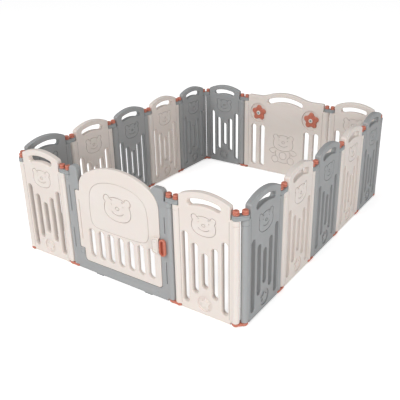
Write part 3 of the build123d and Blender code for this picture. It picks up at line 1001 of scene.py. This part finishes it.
@dataclass
class SmallPanel(Board):
    """Small panel: arched top, handle hole, five upright slots, teddy face and star."""

    shoulder_z: float = 655.0
    peak_z: float = 690.0
    shoulder_r: float = 14.0
    slot_w: float = 38.0
    slot_step: float = 59.0
    slot_spans: tuple[Point, ...] = ((164, 366), (120, 409), (50, 461))
    grip: tuple[float, float, float] = (80.0, 11.5, 35.0)
    grip_z: float = 637.5
    face_z: float = 522.0
    face_scale: float = 0.75
    badge_z: float = 78.0
    badge_r: float = 46.0
    badge_depth: float = 6.5
    star_r: tuple[float, float] = (34.0, 16.0)

    def contours(self) -> list[list[Point]]:
        """Outline, slots and handle hole."""
        mid = self.pitch / 2
        top = arch(self.notch, self.pitch - self.notch, self.shoulder_z, self.peak_z,
                   self.shoulder_r)
        made = [[*self.side_b(), *top, *self.side_a()]]
        for step in range(-2, 3):
            made.append(upright_slot(mid + step * self.slot_step, *self.slot_spans[abs(step)],
                                     self.slot_w))
        half, sag, width = self.grip
        made.append(curved_slot(mid, self.grip_z, half, sag, width))
        return made

    def badge_tools(self) -> list[bpy.types.Mesh]:
        """Cutters that sink a round badge and leave its star standing."""
        mid = (self.pitch / 2, self.badge_z)
        star = []
        for k in range(10):
            a = math.radians(90 + 36 * k)
            r = self.star_r[k % 2]
            star.append((mid[0] + r * math.cos(a), mid[1] + r * math.sin(a),
                         3.0 if k % 2 == 0 else 5.0))
        ring = [circle(mid, self.badge_r, 4.0), rounded(star)]
        made = []
        for y, out in self.faces():
            low, high = sorted((y - out * self.badge_depth, y + out * 4.0))
            made.append(slab(ring, low, high, 1.2, 2))
        return made

    def mesh(self) -> bpy.types.Mesh:
        """The whole moulding."""
        face = TeddyFace((self.pitch / 2, self.face_z), self.face_scale)
        board = slab(self.contours(), -self.half_t, self.half_t, self.rounding)
        board = combined(board, self.posts(), Cut.UNITE)
        tools = Engraver().tools(face.strokes(), face.dots(), self.faces())
        tools += Engraver(1.6, -0.7).tools(self.creases(), (), self.faces())
        tools += self.badge_tools()
        return shaded(joined([combined(board, tools, Cut.REMOVE),
                              bead(self.contours()[0], self.seam_r)]))


@dataclass
class GateFrame(Board):
    """Gate frame: two uprights and a low sill around the door's opening."""

    pitch: float = 710.0
    rounding: float = 4.0
    top: float = 655.0
    head_r: float = 24.0
    left_head: float = 83.0
    right_head: float = 606.0
    door: tuple[float, float, float, float, float] = (86.0, 650.0, 587.0, 690.0, 110.0)
    gap: float = 3.0
    sill: float = 71.0
    sill_r: float = 25.0
    flange: tuple[float, float, float] = (49.0, 150.0, 515.0)
    grooves: tuple[tuple[float, float, float], ...] = (
        (13.0, 139.0, 268.0), (13.0, 370.0, 531.0), (687.0, 115.0, 245.0),
        (687.0, 409.0, 504.0))
    groove_w: float = 6.5
    groove_depth: float = 4.5
    dimples: tuple[Point, ...] = ((78.0, 38.0), (620.0, 40.0))
    dimple_r: float = 5.0
    cover: tuple[float, float, float, float] = (51.0, 79.0, 113.0, 139.0)

    def contours(self) -> list[list[Point]]:
        """Closed outline around both uprights and the sill."""
        left, right, spring, peak, shoulder = self.door
        inner = arch(left, right, spring, peak, shoulder, self.gap)
        inner = [p for p in inner if p[0] > self.right_head and p[1] < self.top]
        hinge, low, high = self.flange
        span_b = self.pitch - self.notch
        right_head = rounded([(span_b, self.post_top, 0), (span_b, self.top, self.head_r),
                              (self.right_head, self.top, self.head_r),
                              (self.right_head, inner[-1][1] + 1, 0)])
        opening = rounded([(right + self.gap, inner[0][1], 0),
                           (right + self.gap, self.sill, self.sill_r),
                           (self.left_head, self.sill, self.sill_r),
                           (self.left_head, low, 6.0), (hinge, low, 5.0), (hinge, high, 5.0),
                           (self.left_head, high, 3.0), (self.left_head, self.top, self.head_r),
                           (self.notch, self.top, self.head_r),
                           (self.notch, self.post_top, 0)])
        return [[*self.side_b()[:-1], *right_head, *inner[::-1], *opening[1:],
                 *self.side_a()[1:]]]

    def mesh(self) -> bpy.types.Mesh:
        """The whole moulding."""
        board = slab(self.contours(), -self.half_t, self.half_t, self.rounding)
        board = combined(board, self.posts(), Cut.UNITE)
        tools = []
        for y, out in self.faces():
            low, high = sorted((y - out * self.groove_depth, y + out * 4.0))
            for x, z0, z1 in self.grooves:
                tools.append(slab([upright_slot(x, z0, z1, self.groove_w)], low, high, 1.0, 2))
        x0, x1, z0, z1 = self.cover
        edge = rounded([(x0, z0, 4), (x1, z0, 4), (x1, z1, 4), (x0, z1, 4)])
        dots = [(spot, self.dimple_r) for spot in self.dimples]
        tools += Engraver(1.4, 0.2).tools([Stroke(tuple(edge), True)], dots, self.faces()[:1])
        return shaded(combined(board, tools, Cut.REMOVE))


@dataclass
class GateDoor:
    """Gate door: arched, with a hinge flange, seven slots, teddy face and a line panel."""

    front: float = -17.5
    back: float = 8.5
    rounding: float = 5.0
    arch_line: tuple[float, float, float, float, float] = (86.0, 650.0, 587.0, 690.0, 110.0)
    foot: float = 74.0
    foot_r: float = 22.0
    flange: tuple[float, float, float] = (52.0, 153.0, 512.0)
    slots: int = 7
    slot_w: float = 44.0
    slot_step: float = 72.0
    slot_span: Point = (112.0, 292.0)
    face_z: float = 471.0
    flange_groove: tuple[float, float, float] = (78.0, 209.0, 459.0)
    frame_line: tuple[Point, ...] = (
        (-207, 364), (-208, 430), (-206, 476), (-198, 520), (-176, 556), (-130, 587), (-70, 603),
        (0, 610), (70, 603), (130, 587), (176, 556), (198, 520), (206, 476), (208, 430),
        (207, 364), (196, 332), (170, 316), (120, 310), (0, 308), (-120, 310), (-170, 316),
        (-196, 332))

    def mid(self) -> float:
        """Middle of the door."""
        return (self.arch_line[0] + self.arch_line[1]) / 2

    def contours(self) -> list[list[Point]]:
        """Outline with the flange, and the slots."""
        left, right = self.arch_line[:2]
        hinge, low, high = self.flange
        foot = rounded([(left, low, 4.0), (left, self.foot, self.foot_r),
                        (right, self.foot, self.foot_r), (right, low, 0)])
        flange = rounded([(left, high + 60, 0), (left, high, 4.0), (hinge, high, 9.0),
                          (hinge, low, 9.0), (left, low, 4.0), (left, self.foot + 60, 0)])
        made = [[*foot[len(arc((0, 0), 4.0, 0, 90, 3.5)):], *arch(*self.arch_line),
                 *flange[1:-1]]]
        for count in range(self.slots):
            x = self.mid() + (count - (self.slots - 1) / 2) * self.slot_step
            made.append(upright_slot(x, *self.slot_span, self.slot_w))
        return made

    def mesh(self) -> bpy.types.Mesh:
        """The whole moulding."""
        board = slab(self.contours(), self.front, self.back, self.rounding)
        face = TeddyFace((self.mid(), self.face_z), 1.0)
        faces = [(self.front, -1), (self.back, 1)]
        tools = Engraver(3.0, 1.9).tools(face.strokes(), face.dots(), faces)
        line = smooth([(self.mid() + x, z) for x, z in self.frame_line], True, 8.0)
        tools += Engraver(2.2, 0.6).tools([Stroke(tuple(line), True)], (), faces)
        x, z0, z1 = self.flange_groove
        tools.append(slab([upright_slot(x, z0, z1, 6.0)], self.front - 4, self.front + 4, 1, 2))
        return shaded(combined(board, tools, Cut.REMOVE))


@dataclass
class ActivityPanel(Board):
    """Activity panel: wavy top, long handle hole, four slots, two pockets and a teddy."""

    pitch: float = 710.0
    shoulder_z: float = 648.0
    shoulder_r: float = 12.0
    wave: tuple[float, float, float, float] = (150.0, 664.0, 240.0, 690.0)
    slots: Point = (76.0, 156.0)
    slot_w: float = 44.0
    slot_span: Point = (48.0, 402.0)
    grip: tuple[float, float, float] = (135.0, 26.0, 40.0)
    grip_z: float = 636.0
    pocket_x: float = 122.0
    pocket_z: float = 505.0
    pocket_r: float = 79.0
    pocket_depth: float = 10.0
    tail_r: float = 5.1
    face_z: float = 285.0
    face_scale: float = 0.95
    arm: tuple[Point, ...] = ((60, 226), (84, 229), (104, 224), (120, 212), (121, 198),
                              (108, 187), (90, 184), (74, 190))
    flank: tuple[Point, ...] = ((62, 212), (66, 196), (66, 180), (62, 166))
    seat: tuple[Point, ...] = ((-46, 117), (-24, 110), (0, 108), (24, 110), (46, 117))
    sole: tuple[float, float, float] = (71.0, 134.0, 29.0)
    belly: tuple[float, float] = (170.0, 32.0)

    def top(self) -> list[Point]:
        """Wavy top edge from pivot B's shoulder to pivot A's."""
        mid = self.pitch / 2
        turn, turn_z, foot, peak = self.wave
        rise = peak - turn_z
        radius = (turn ** 2 + rise ** 2) / (2 * rise)
        lean = math.degrees(math.asin(turn / radius))
        crown = arc((mid, peak - radius), radius, 90 - lean, 90 + lean, 9.0)
        out = Vector((math.cos(math.radians(90 - lean)), math.sin(math.radians(90 - lean))))
        start, end = Vector((mid + turn, turn_z)), Vector((mid + foot, self.shoulder_z))
        run = end - start
        r = run.length_squared / (-2 * run.dot(out)) if run.dot(out) < 0 else (
            run.length_squared / (2 * run.dot(out)))
        centre = start + out * r
        a0 = math.degrees(math.atan2(*(start - centre).yx))
        a1 = math.degrees(math.atan2(*(end - centre).yx))
        dip = arc(tuple(centre), r, a1, a0, 7.0)
        right = [*dip[:-1], *crown]
        left = [(self.pitch - x, z) for x, z in reversed(dip[:-1])]
        edge = self.pitch - self.notch
        shoulder = rounded([(edge, self.post_top, 0), (edge, self.shoulder_z, self.shoulder_r),
                            (mid + foot + 5, self.shoulder_z, 0)])
        mirrored = [(self.pitch - x, z) for x, z in reversed(shoulder)]
        return [*shoulder[1:], *right, *left, *mirrored[:-1]]

    def contours(self) -> list[list[Point]]:
        """Outline, slots and handle hole."""
        made = [[*self.side_b(), *self.top(), *self.side_a()]]
        for x in self.slots:
            made.append(upright_slot(x, *self.slot_span, self.slot_w))
            made.append(upright_slot(self.pitch - x, *self.slot_span, self.slot_w))
        half, sag, width = self.grip
        made.append(curved_slot(self.pitch / 2, self.grip_z, half, sag, width))
        return made

    def body_strokes(self) -> list[Stroke]:
        """Arms, flanks, soles, belly and seat of the sitting teddy."""
        mid = self.pitch / 2
        lines = [Stroke(tuple(smooth([(mid + x, z) for x, z in self.seat], False)))]
        for side in (-1, 1):
            for run in (self.arm, self.flank):
                lines.append(Stroke(tuple(smooth([(mid + side * x, z) for x, z in run],
                                                 False))))
            x, z, r = self.sole
            lines.append(Stroke(tuple(circle((mid + side * x, z), r, 4.0)), True))
        lines.append(Stroke(tuple(circle((mid, self.belly[0]), self.belly[1], 4.0)), True))
        return lines

    def mesh(self) -> bpy.types.Mesh:
        """The whole moulding."""
        board = slab(self.contours(), -self.half_t, self.half_t, self.rounding)
        board = combined(board, self.posts(), Cut.UNITE)
        face = TeddyFace((self.pitch / 2, self.face_z), self.face_scale)
        tools = Engraver(3.0, 1.9).tools([*face.strokes(), *self.body_strokes()], face.dots(),
                                         self.faces()[1:])
        tools += Engraver(1.6, -0.7).tools(self.creases(), (), self.faces())
        floor = self.half_t - self.pocket_depth
        bowl = [(0, floor), (self.pocket_r - 5, floor), (self.pocket_r - 1.5, floor + 1.5),
                (self.pocket_r, floor + 5), (self.pocket_r, self.half_t - 2),
                (self.pocket_r + 0.6, self.half_t - 0.6), (self.pocket_r + 3, self.half_t + 0.6),
                (self.pocket_r + 3, self.half_t + 4), (0, self.half_t + 4)]
        hole = [(0, -self.half_t - 4), (self.tail_r, -self.half_t - 4),
                (self.tail_r, floor + 2), (0, floor + 2)]
        for x in (self.pocket_x, self.pitch - self.pocket_x):
            spot = (x, self.pocket_z)
            tools.append(turned(bowl, spot, 72, along_y=True))
            tools.append(turned(hole, spot, 24, along_y=True))
        return shaded(combined(board, tools, Cut.REMOVE))


# ---- the smaller mouldings --------------------------------------------------------------


@dataclass
class Connector:
    """Connector between two pivots: top bracket, two knobs, floor plate and pads."""

    bracket_r: float = 21.0
    bracket_z: Point = (591.0, 615.0)
    groove_drop: float = 7.0
    plate_r: float = 20.0
    plate_z: Point = (8.0, 22.0)
    knob_r: float = 16.5
    knob_z: Point = (615.0, 640.0)
    rib_r: float = 0.8
    rib_count: int = 22
    pad_r: float = 14.0

    def _plate(self, pitch: float, radius: float, span: Point, rounding: float) -> bpy.types.Mesh:
        """Level plate with round ends about both pivots."""
        outline = (arc((pitch, 0), radius, -90, 90, 3.0) + arc((0, 0), radius, 90, 270, 3.0))
        mesh = slab([outline], -span[1], -span[0], rounding, 3)
        mesh.transform(Matrix.Rotation(-math.pi / 2, 4, "X"))
        return mesh

    def bracket(self, pitch: float) -> bpy.types.Mesh:
        """Top bracket with a shallow groove round its waist."""
        body = self._plate(pitch, self.bracket_r, self.bracket_z, 2.6)
        line = (arc((pitch, 0), self.bracket_r, -90, 90, 3.0)
                + arc((0, 0), self.bracket_r, 90, 270, 3.0))
        groove = tube(line, 0.0, 1.1, True)
        groove.transform(Matrix.Translation((0, 0, (self.bracket_z[1] - self.groove_drop) * MM))
                         @ Matrix.Rotation(-math.pi / 2, 4, "X"))
        return shaded(combined(body, [groove], Cut.REMOVE))

    def knobs(self, pitch: float) -> bpy.types.Mesh:
        """Knob bolts: two stacked rounded caps with a waist between them."""
        r, low, high = self.knob_r, *self.knob_z
        waist = (low + high) / 2 - 1
        profile = [(0, low), (r - 2.5, low), (r - 0.6, low + 1.0), (r, low + 3.5),
                   (r, waist - 3.0), (r - 1.2, waist - 1.2), (r - 3.4, waist),
                   (r - 1.6, waist + 1.2), (r - 0.4, waist + 3.2), (r - 0.4, high - 5.0),
                   (r - 1.4, high - 2.2), (r - 3.8, high - 0.5), (r - 6.0, high),
                   (r - 8.0, high - 0.4), (r - 9.2, high - 1.6), (0, high - 1.8)]
        cap = joined([turned(profile, (0.0, 0.0), 32),
                      ribs(r - 0.2, self.rib_r, (low + 4.0, waist - 3.6), self.rib_count)])
        return shaded(row(cap, 2, (pitch, 0.0, 0.0)))

    def floor_plate(self, pitch: float) -> bpy.types.Mesh:
        """Floor plate with a rounded edge."""
        return shaded(self._plate(pitch, self.plate_r, self.plate_z, 4.0))

    def pads(self, pitch: float) -> bpy.types.Mesh:
        """Anti-slip pads with a stepped rim."""
        r, top = self.pad_r, self.plate_z[0] + 0.5
        profile = [(0, 0), (r - 2.0, 0), (r - 0.5, 0.5), (r, 2.0), (r, 4.6), (r - 1.0, 5.4),
                   (r - 1.0, top), (0, top)]
        return shaded(row(turned(profile, (0.0, 0.0), 32), 2, (pitch, 0.0, 0.0)))


@dataclass
class Latch:
    """Latch: housing on the door and the lift slider beside it."""

    edge: float = 650.0
    width: float = 48.0
    height: float = 92.0
    z: float = 330.0
    corner: float = 22.0
    face: float = -17.5
    proud: float = 14.0
    ring_x: float = 675.0
    ring: tuple[float, float, float] = (38.0, 98.0, 16.0)
    ring_back: float = -18.5
    rim: float = 8.0
    floor: float = 3.0
    spring: tuple[float, float, float] = (2.6, 0.5, 7.0)
    spring_xy: Point = (632.0, -23.0)
    spring_z: Point = (328.1, 362.4)
    screw_x: float = 608.0
    screw_z: Point = (308.0, 352.0)
    screw_r: Point = (2.0, 4.5)
    screw_y: tuple[float, float, float] = (-23.5, 8.5, 11.0)
    slot: Point = (4.6, 1.0)
    slot_deep: float = 1.4
    cover_in: float = 7.0
    mark_x: Point = (34.0, 16.0)
    mark_z: float = 22.0
    mark_half: float = 2.0
    tongue_x: float = 35.5
    tongue_z: Point = (32.5, 2.5)
    tongue_deep: float = 10.0
    lug_half: float = 5.0
    lug_z: Point = (19.0, 5.0)
    lug_y: Point = (-1.0, 6.5)

    def spring_mesh(self) -> bpy.types.Mesh:
        """Return spring that presses the slider down."""
        radius, wire, turns = self.spring
        mesh = coil(radius, wire, turns, self.spring_z[1] - self.spring_z[0])
        mesh.transform(Matrix.Translation(Vector((*self.spring_xy, self.spring_z[0])) * MM))
        return shaded(mesh)

    def screws(self) -> bpy.types.Mesh:
        """Two pan-head screws with crossed slots, from the back of the door."""
        shank, head = self.screw_r
        tip, seat, top = self.screw_y
        low, high = self.screw_z
        profile = [(0, tip), (shank - 0.6, tip), (shank, tip + 1.0), (shank, seat),
                   (head, seat), (head, seat + 1.0), (head - 0.8, top - 0.6),
                   (head - 2.0, top - 0.1), (0, top)]
        screw = turned(profile, (self.screw_x, low), 28, True)
        slots = []
        for wide, tall in (self.slot, self.slot[::-1]):
            bar = rounded([(self.screw_x - wide / 2, low - tall / 2, 0.2),
                           (self.screw_x + wide / 2, low - tall / 2, 0.2),
                           (self.screw_x + wide / 2, low + tall / 2, 0.2),
                           (self.screw_x - wide / 2, low + tall / 2, 0.2)])
            slots.append(slab([bar], top - self.slot_deep, top + 2.0, 0.1, 1))
        return shaded(row(combined(screw, slots, Cut.REMOVE), 2, (0.0, 0.0, high - low)))

    def housing(self) -> bpy.types.Mesh:
        """Housing with a cover line and two raised marks."""
        low, high = self.z - self.height / 2, self.z + self.height / 2
        back, front = self.edge - self.width, self.face - self.proud
        shape = rounded([(back, low, self.corner), (self.edge, low, 3.0),
                         (self.edge, high, 3.0), (back, high, self.corner)])
        body = slab([shape], front, self.face, 3.0)
        inset, turn = self.cover_in, self.corner - self.cover_in
        cover = rounded([(back + inset, low + inset, turn), (self.edge - inset, low + inset, 3.0),
                         (self.edge - inset, high - inset, 3.0),
                         (back + inset, high - inset, turn)])
        tools = Engraver(1.7, 0.9).tools([Stroke(tuple(cover), True)], (), [(front, -1)])
        left, right = self.edge - self.mark_x[0], self.edge - self.mark_x[1]
        for z in (self.z - self.mark_z, self.z + self.mark_z):
            foot, head = z - self.mark_half, z + self.mark_half
            bar = [(left, foot, 1.9), (right, foot, 1.9), (right, head, 1.9), (left, head, 1.9)]
            tools.append(slab([rounded(bar)], front - 2, front + 1.2, 0.5, 1))
        return shaded(combined(body, tools, Cut.REMOVE))

    def slider(self) -> bpy.types.Mesh:
        """Oval finger pull with its tongue into the housing and the lug behind it."""
        width, height, thick = self.ring
        front = self.ring_back - thick
        low, high = self.z - height / 2, self.z + height / 2
        body = slab([upright_slot(self.ring_x, low, high, width)], front, self.ring_back, 4.5)
        hollow = upright_slot(self.ring_x, low + self.rim, high - self.rim,
                              width - 2 * self.rim)
        root = self.edge - self.tongue_x
        foot, head = (self.z - drop for drop in self.tongue_z)
        bar = rounded([(root, foot, 1.0), (self.ring_x, foot, 1.0), (self.ring_x, head, 1.0),
                       (root, head, 1.0)])
        tongue = slab([bar], self.face - 0.5 - self.tongue_deep, self.face - 0.5, 0.8, 1)
        left, right = self.ring_x - self.lug_half, self.ring_x + self.lug_half
        foot, head = (self.z - drop for drop in self.lug_z)
        lug = slab([rounded([(left, foot, 1.5), (right, foot, 1.5), (right, head, 1.5),
                             (left, head, 1.5)])],
                   self.ring_back + self.lug_y[0], self.ring_back + self.lug_y[1], 0.7, 1)
        body = combined(body, [tongue, lug], Cut.UNITE)
        hole = slab([hollow], front - 5, self.ring_back - self.floor, 2.0)
        return shaded(combined(body, [hole], Cut.REMOVE))


@dataclass
class Flower:
    """Spinning flower: five puffed petals round a hub, on an axle with a cap."""

    tip: float = 64.0
    waist: float = 49.0
    petals: int = 5
    back: float = 8.5
    thick: float = 12.0
    bore: float = 8.1
    cap_r: float = 17.0
    cap_h: float = 4.0
    rim: float = 2.2
    vein: float = 0.22
    dish: tuple[float, float, float] = (0.25, 24.0, 7.0)
    rings: int = 16
    around: int = 150

    def edge(self, angle: float) -> float:
        """Radius of the outline at an angle from the middle of a petal."""
        reach = 45.0
        petal = math.radians(360 / self.petals)
        off = (angle + petal / 2) % petal - petal / 2
        lobe = self.tip - reach
        across = reach * math.sin(off)
        inside = lobe ** 2 - across ** 2
        wide = reach * math.cos(off) + math.sqrt(inside) if inside > 0 else 0.0
        return (wide ** 8 + self.waist ** 8) ** 0.125

    def petals_mesh(self) -> bpy.types.Mesh:
        """Puffed petals as a closed shell with a bore for the axle."""
        work = bmesh.new()
        deep, middle, spread = self.dish
        shells = []
        for top in (True, False):
            grid = []
            for i in range(self.rings + 1):
                t = i / self.rings
                ring = []
                for k in range(self.around):
                    a = 2 * math.pi * k / self.around
                    r = self.bore + (self.edge(a) - self.bore) * t
                    s = r / self.edge(a)
                    puff = math.sqrt(max(0.0, 1 - s ** 5))
                    crease = 1 - abs(math.cos(self.petals * a / 2))
                    vein = 1 - self.vein * crease ** 2 * s
                    dish = 1 - deep * math.exp(-((r - middle) / spread) ** 2)
                    full = self.thick - self.rim
                    y = (self.back + self.rim + full * puff * vein * dish if top
                         else self.back + self.rim * (s ** 9))
                    ring.append(work.verts.new(Vector(
                        (r * math.sin(a), y, r * math.cos(a))) * MM))
                grid.append(ring)
            shells.append(grid)
            for low, high in zip(grid, grid[1:]):
                for k in range(self.around):
                    n = (k + 1) % self.around
                    work.faces.new((low[k], low[n], high[n], high[k]))
        for i in (0, self.rings):
            for k in range(self.around):
                n = (k + 1) % self.around
                work.faces.new((shells[0][i][k], shells[0][i][n], shells[1][i][n],
                                shells[1][i][k]))
        bmesh.ops.remove_doubles(work, verts=work.verts, dist=0.01 * MM)
        bmesh.ops.recalc_face_normals(work, faces=work.faces)
        mesh = bpy.data.meshes.new("petals")
        work.to_mesh(mesh)
        work.free()
        return shaded(mesh, 50.0)

    def axle(self) -> bpy.types.Mesh:
        """Axle with a rounded cap that has a seat for the dot."""
        foot, cap = 7.5, self.back + self.thick + 1.0
        r, top = self.cap_r, self.back + self.thick + 1.0 + self.cap_h
        profile = [(0, -17.5), (5, -17.5), (5, foot), (8, foot), (8, cap), (r - 1, cap),
                   (r, cap + 0.8), (r, cap + 1.6), (r - 1.2, top - 0.8), (r - 4, top),
                   (8.6, top), (8.2, top - 0.8), (0, top - 0.8)]
        return shaded(turned(profile, (0, 0), 48, along_y=True))

    def dot(self) -> bpy.types.Mesh:
        """Coloured dot in the middle of the cap."""
        top = self.back + self.thick + 1.0 + self.cap_h
        profile = [(0, top - 0.9), (7.9, top - 0.9), (7.9, top - 0.2), (7.2, top + 0.2),
                   (0, top + 0.5)]
        return shaded(turned(profile, (0, 0), 40, along_y=True))


# ---- assembling the pen -------------------------------------------------------------------


class Playpen:
    """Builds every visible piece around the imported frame."""

    def __init__(self, shop: Workshop) -> None:
        """Keep the workshop that fits the pieces.

        Args:
            shop: Places pieces on their bodies.
        """
        self.shop = shop
        self.ring = shop.ring

    def small_panels(self) -> None:
        """Fit the fourteen small panels from one moulding."""
        mesh = SmallPanel().mesh()
        for name, place in self.ring.panels.items():
            if name in ("gate_frame", "activity_panel"):
                continue
            slot = next(s["material_slot"] for s in self.subparts if s["node"] == name)
            finish = Finish.GRAY_PANEL if slot == "panel_gray" else Finish.IVORY_PANEL
            self.shop.fit(f"{name}_moulding", mesh, place, finish, slot, name, [name])

    def gate(self) -> None:
        """Fit the gate's frame, door and latch."""
        place = self.ring.panels["gate_frame"]
        fit = self.shop.fit
        fit("gate_frame_moulding", GateFrame().mesh(), place, Finish.GRAY_PANEL, "panel_gray",
            "gate_frame", ["gate_frame"])
        fit("gate_door_moulding", GateDoor().mesh(), place, Finish.IVORY_PANEL, "panel_white",
            "gate_door", ["gate_door"])
        latch = Latch()
        fit("latch_housing_moulding", latch.housing(), place, Finish.IVORY_PANEL,
            "panel_white", "latch_housing", ["latch_housing"])
        fit("latch_slider_moulding", latch.slider(), place, Finish.CORAL, "connector_orange",
            "latch_slider", ["latch_slider"])
        fit("latch_return_spring", latch.spring_mesh(), place, Finish.STEEL, "steel",
            "latch_spring", ["latch_spring"])
        fit("latch_pan_screws", latch.screws(), place, Finish.STEEL, "steel",
            "latch_screws", ["latch_screws"])

    def activity(self) -> None:
        """Fit the activity panel with its flowers."""
        place = self.ring.panels["activity_panel"]
        panel = ActivityPanel()
        self.shop.fit("activity_panel_moulding", panel.mesh(), place, Finish.IVORY_PANEL,
                      "panel_white", "activity_panel", ["activity_panel"])
        flower = Flower()
        petals, axle, dot = flower.petals_mesh(), flower.axle(), flower.dot()
        turn = math.radians(place.heading)
        for side, along in (("right", panel.pocket_x),
                            ("left", place.pitch - panel.pocket_x)):
            spot = Place(place.x + along * math.cos(turn), place.y + along * math.sin(turn),
                         place.heading, 0.0)
            for part, mesh, finish, slot, node in (
                    ("petals", petals, Finish.CORAL, "connector_orange", f"flower_{side}"),
                    ("axle", axle, Finish.CAP, "panel_white", f"flower_axle_{side}"),
                    ("dot", dot, Finish.CAP_DOT, "panel_gray", f"flower_axle_{side}")):
                lifted = mesh.copy()
                lifted.transform(Matrix.Translation((0, 0, panel.pocket_z * MM)))
                self.shop.fit(f"flower_{side}_{part}", lifted, spot, finish, slot, node,
                              [] if part == "dot" else [node])
                bpy.data.meshes.remove(lifted)

    def connectors(self) -> None:
        """Fit the sixteen connectors."""
        maker = Connector()
        pitch = next(iter(self.ring.links.values())).pitch
        parts = (("bracket_moulding", maker.bracket(pitch), Finish.GRAY_BRACKET,
                  "bracket_gray", "bracket"),
                 ("knobs", maker.knobs(pitch), Finish.CORAL, "connector_orange", "pins"),
                 ("floor_plate", maker.floor_plate(pitch), Finish.CORAL, "connector_orange",
                  "pins"),
                 ("pads", maker.pads(pitch), Finish.PAD, "connector_orange", "pins"))
        for name, place in self.ring.links.items():
            for part, mesh, finish, slot, node in parts:
                self.shop.fit(f"{name}_{part}", mesh, place, finish, slot, f"{name}_{node}",
                              [] if part == "pads" else [f"{name}_{node}"])

    def carried_nodes(self, nodes: dict[str, bpy.types.Object]) -> None:
        """Dress the CAD nodes that stay on show."""
        for name, finish in (("gate_hinge_pins", Finish.STEEL),
                             ("strike_plate", Finish.GRAY_BRACKET),
                             ("sill_feet", Finish.FOOT)):
            node = nodes[name]
            node.data.materials.clear()
            node.data.materials.append(self.shop.finishes[finish])

    def build(self, frame: dict) -> None:
        """Build everything.
        """
        self.subparts = frame["record"]["subparts"]
        self.small_panels()
        self.gate()
        self.activity()
        self.connectors()
        self.carried_nodes(frame["nodes"])


# ---- studio -------------------------------------------------------------------------------


@dataclass(frozen=True)
class Lamp:
    """Square soft lamp: its place in metres, its side and its power in watts."""

    name: str
    spot: tuple[float, float, float]
    size: float
    power: float

    def hang(self) -> None:
        """Hang the lamp so that it shines on the middle of the pen."""
        lamp = bpy.data.lights.new(self.name, "AREA")
        lamp.size = self.size
        lamp.energy = self.power
        holder = bpy.data.objects.new(self.name, lamp)
        holder.location = self.spot
        away = Vector(self.spot) - Vector((0, 0, 0.3))
        holder.rotation_euler = away.to_track_quat("Z", "Y").to_euler()
        bpy.context.scene.collection.objects.link(holder)


@dataclass
class Studio:
    """Plain pale floor, soft lights and the camera."""

    floor: str = "#FFFFFF"
    world: float = 0.37
    glow: float = 0.60
    eye: tuple[float, float, float] = (1.9563, -2.9557, 1.7358)
    yaw: float = -33.26
    pitch: float = 22.17
    roll: float = -0.43
    lens: float = 50.5
    shift: Point = (-0.05, -0.05)
    reach: float = 40.0
    lamps: tuple[Lamp, ...] = (Lamp("key", (-2.5, -8.0, 8.0), 6.0, 570.0),
                               Lamp("fill", (8.5, -4.0, 1.5), 2.4, 260.0))

    def camera(self) -> None:
        """Place the camera."""
        data = bpy.data.cameras.new("camera")
        data.lens = self.lens
        data.sensor_width = 36.0
        data.shift_x, data.shift_y = self.shift
        data.clip_end = 60.0
        camera = bpy.data.objects.new("camera", data)
        aim = (Matrix.Rotation(-math.radians(self.yaw), 4, "Z")
               @ Matrix.Rotation(math.radians(90 - self.pitch), 4, "X")
               @ Matrix.Rotation(math.radians(self.roll), 4, "Z"))
        camera.matrix_world = Matrix.Translation(self.eye) @ aim
        bpy.context.scene.collection.objects.link(camera)
        bpy.context.scene.camera = camera

    def lights(self) -> None:
        """Soft surround, a large key from the front left and a faint fill."""
        world = bpy.data.worlds.new("surround")
        world.use_nodes = True
        back = world.node_tree.nodes["Background"]
        back.inputs["Color"].default_value = linear("#FFFFFF")
        seen = add_node(world.node_tree, "ShaderNodeLightPath")
        level = add_node(world.node_tree, "ShaderNodeMapRange", To_Min=self.world, To_Max=1.0,
                         Value=seen.outputs["Is Camera Ray"])
        world.node_tree.links.new(level.outputs["Result"], back.inputs["Strength"])
        bpy.context.scene.world = world
        for lamp in self.lamps:
            lamp.hang()

    def ground(self) -> None:
        """Pale floor that reaches past the view."""
        mesh = bpy.data.meshes.new("floor")
        reach = self.reach
        mesh.from_pydata([(-reach, -reach, 0), (reach, -reach, 0), (reach, reach, 0),
                          (-reach, reach, 0)], [], [(0, 1, 2, 3)])
        floor = bpy.data.objects.new("floor", mesh)
        material = bpy.data.materials.new("matt_white_paint")
        material.use_nodes = True
        shader = material.node_tree.nodes["Principled BSDF"]
        shader.inputs["Base Color"].default_value = linear(self.floor)
        shader.inputs["Roughness"].default_value = 1.0
        shader.inputs["Specular IOR Level"].default_value = 0.0
        shader.inputs["Emission Color"].default_value = linear(self.floor)
        seen = add_node(material.node_tree, "ShaderNodeLightPath")
        level = add_node(material.node_tree, "ShaderNodeMath", {"operation": "MULTIPLY"},
                         Value=seen.outputs["Is Camera Ray"], Value_=self.glow)
        material.node_tree.links.new(level.outputs["Value"],
                                     shader.inputs["Emission Strength"])
        mesh.materials.append(material)
        bpy.context.scene.collection.objects.link(floor)


def main() -> None:
    """Load the frame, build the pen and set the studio."""
    logging.basicConfig(level=logging.INFO, format="%(message)s")
    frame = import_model()
    ring = Ring(frame["record"])
    Playpen(Workshop(ring, Finishes())).build(frame)
    studio = Studio()
    studio.camera()
    studio.lights()
    studio.ground()
    bpy.context.scene.view_settings.view_transform = "Standard"


if __name__ == "__main__":
    main()
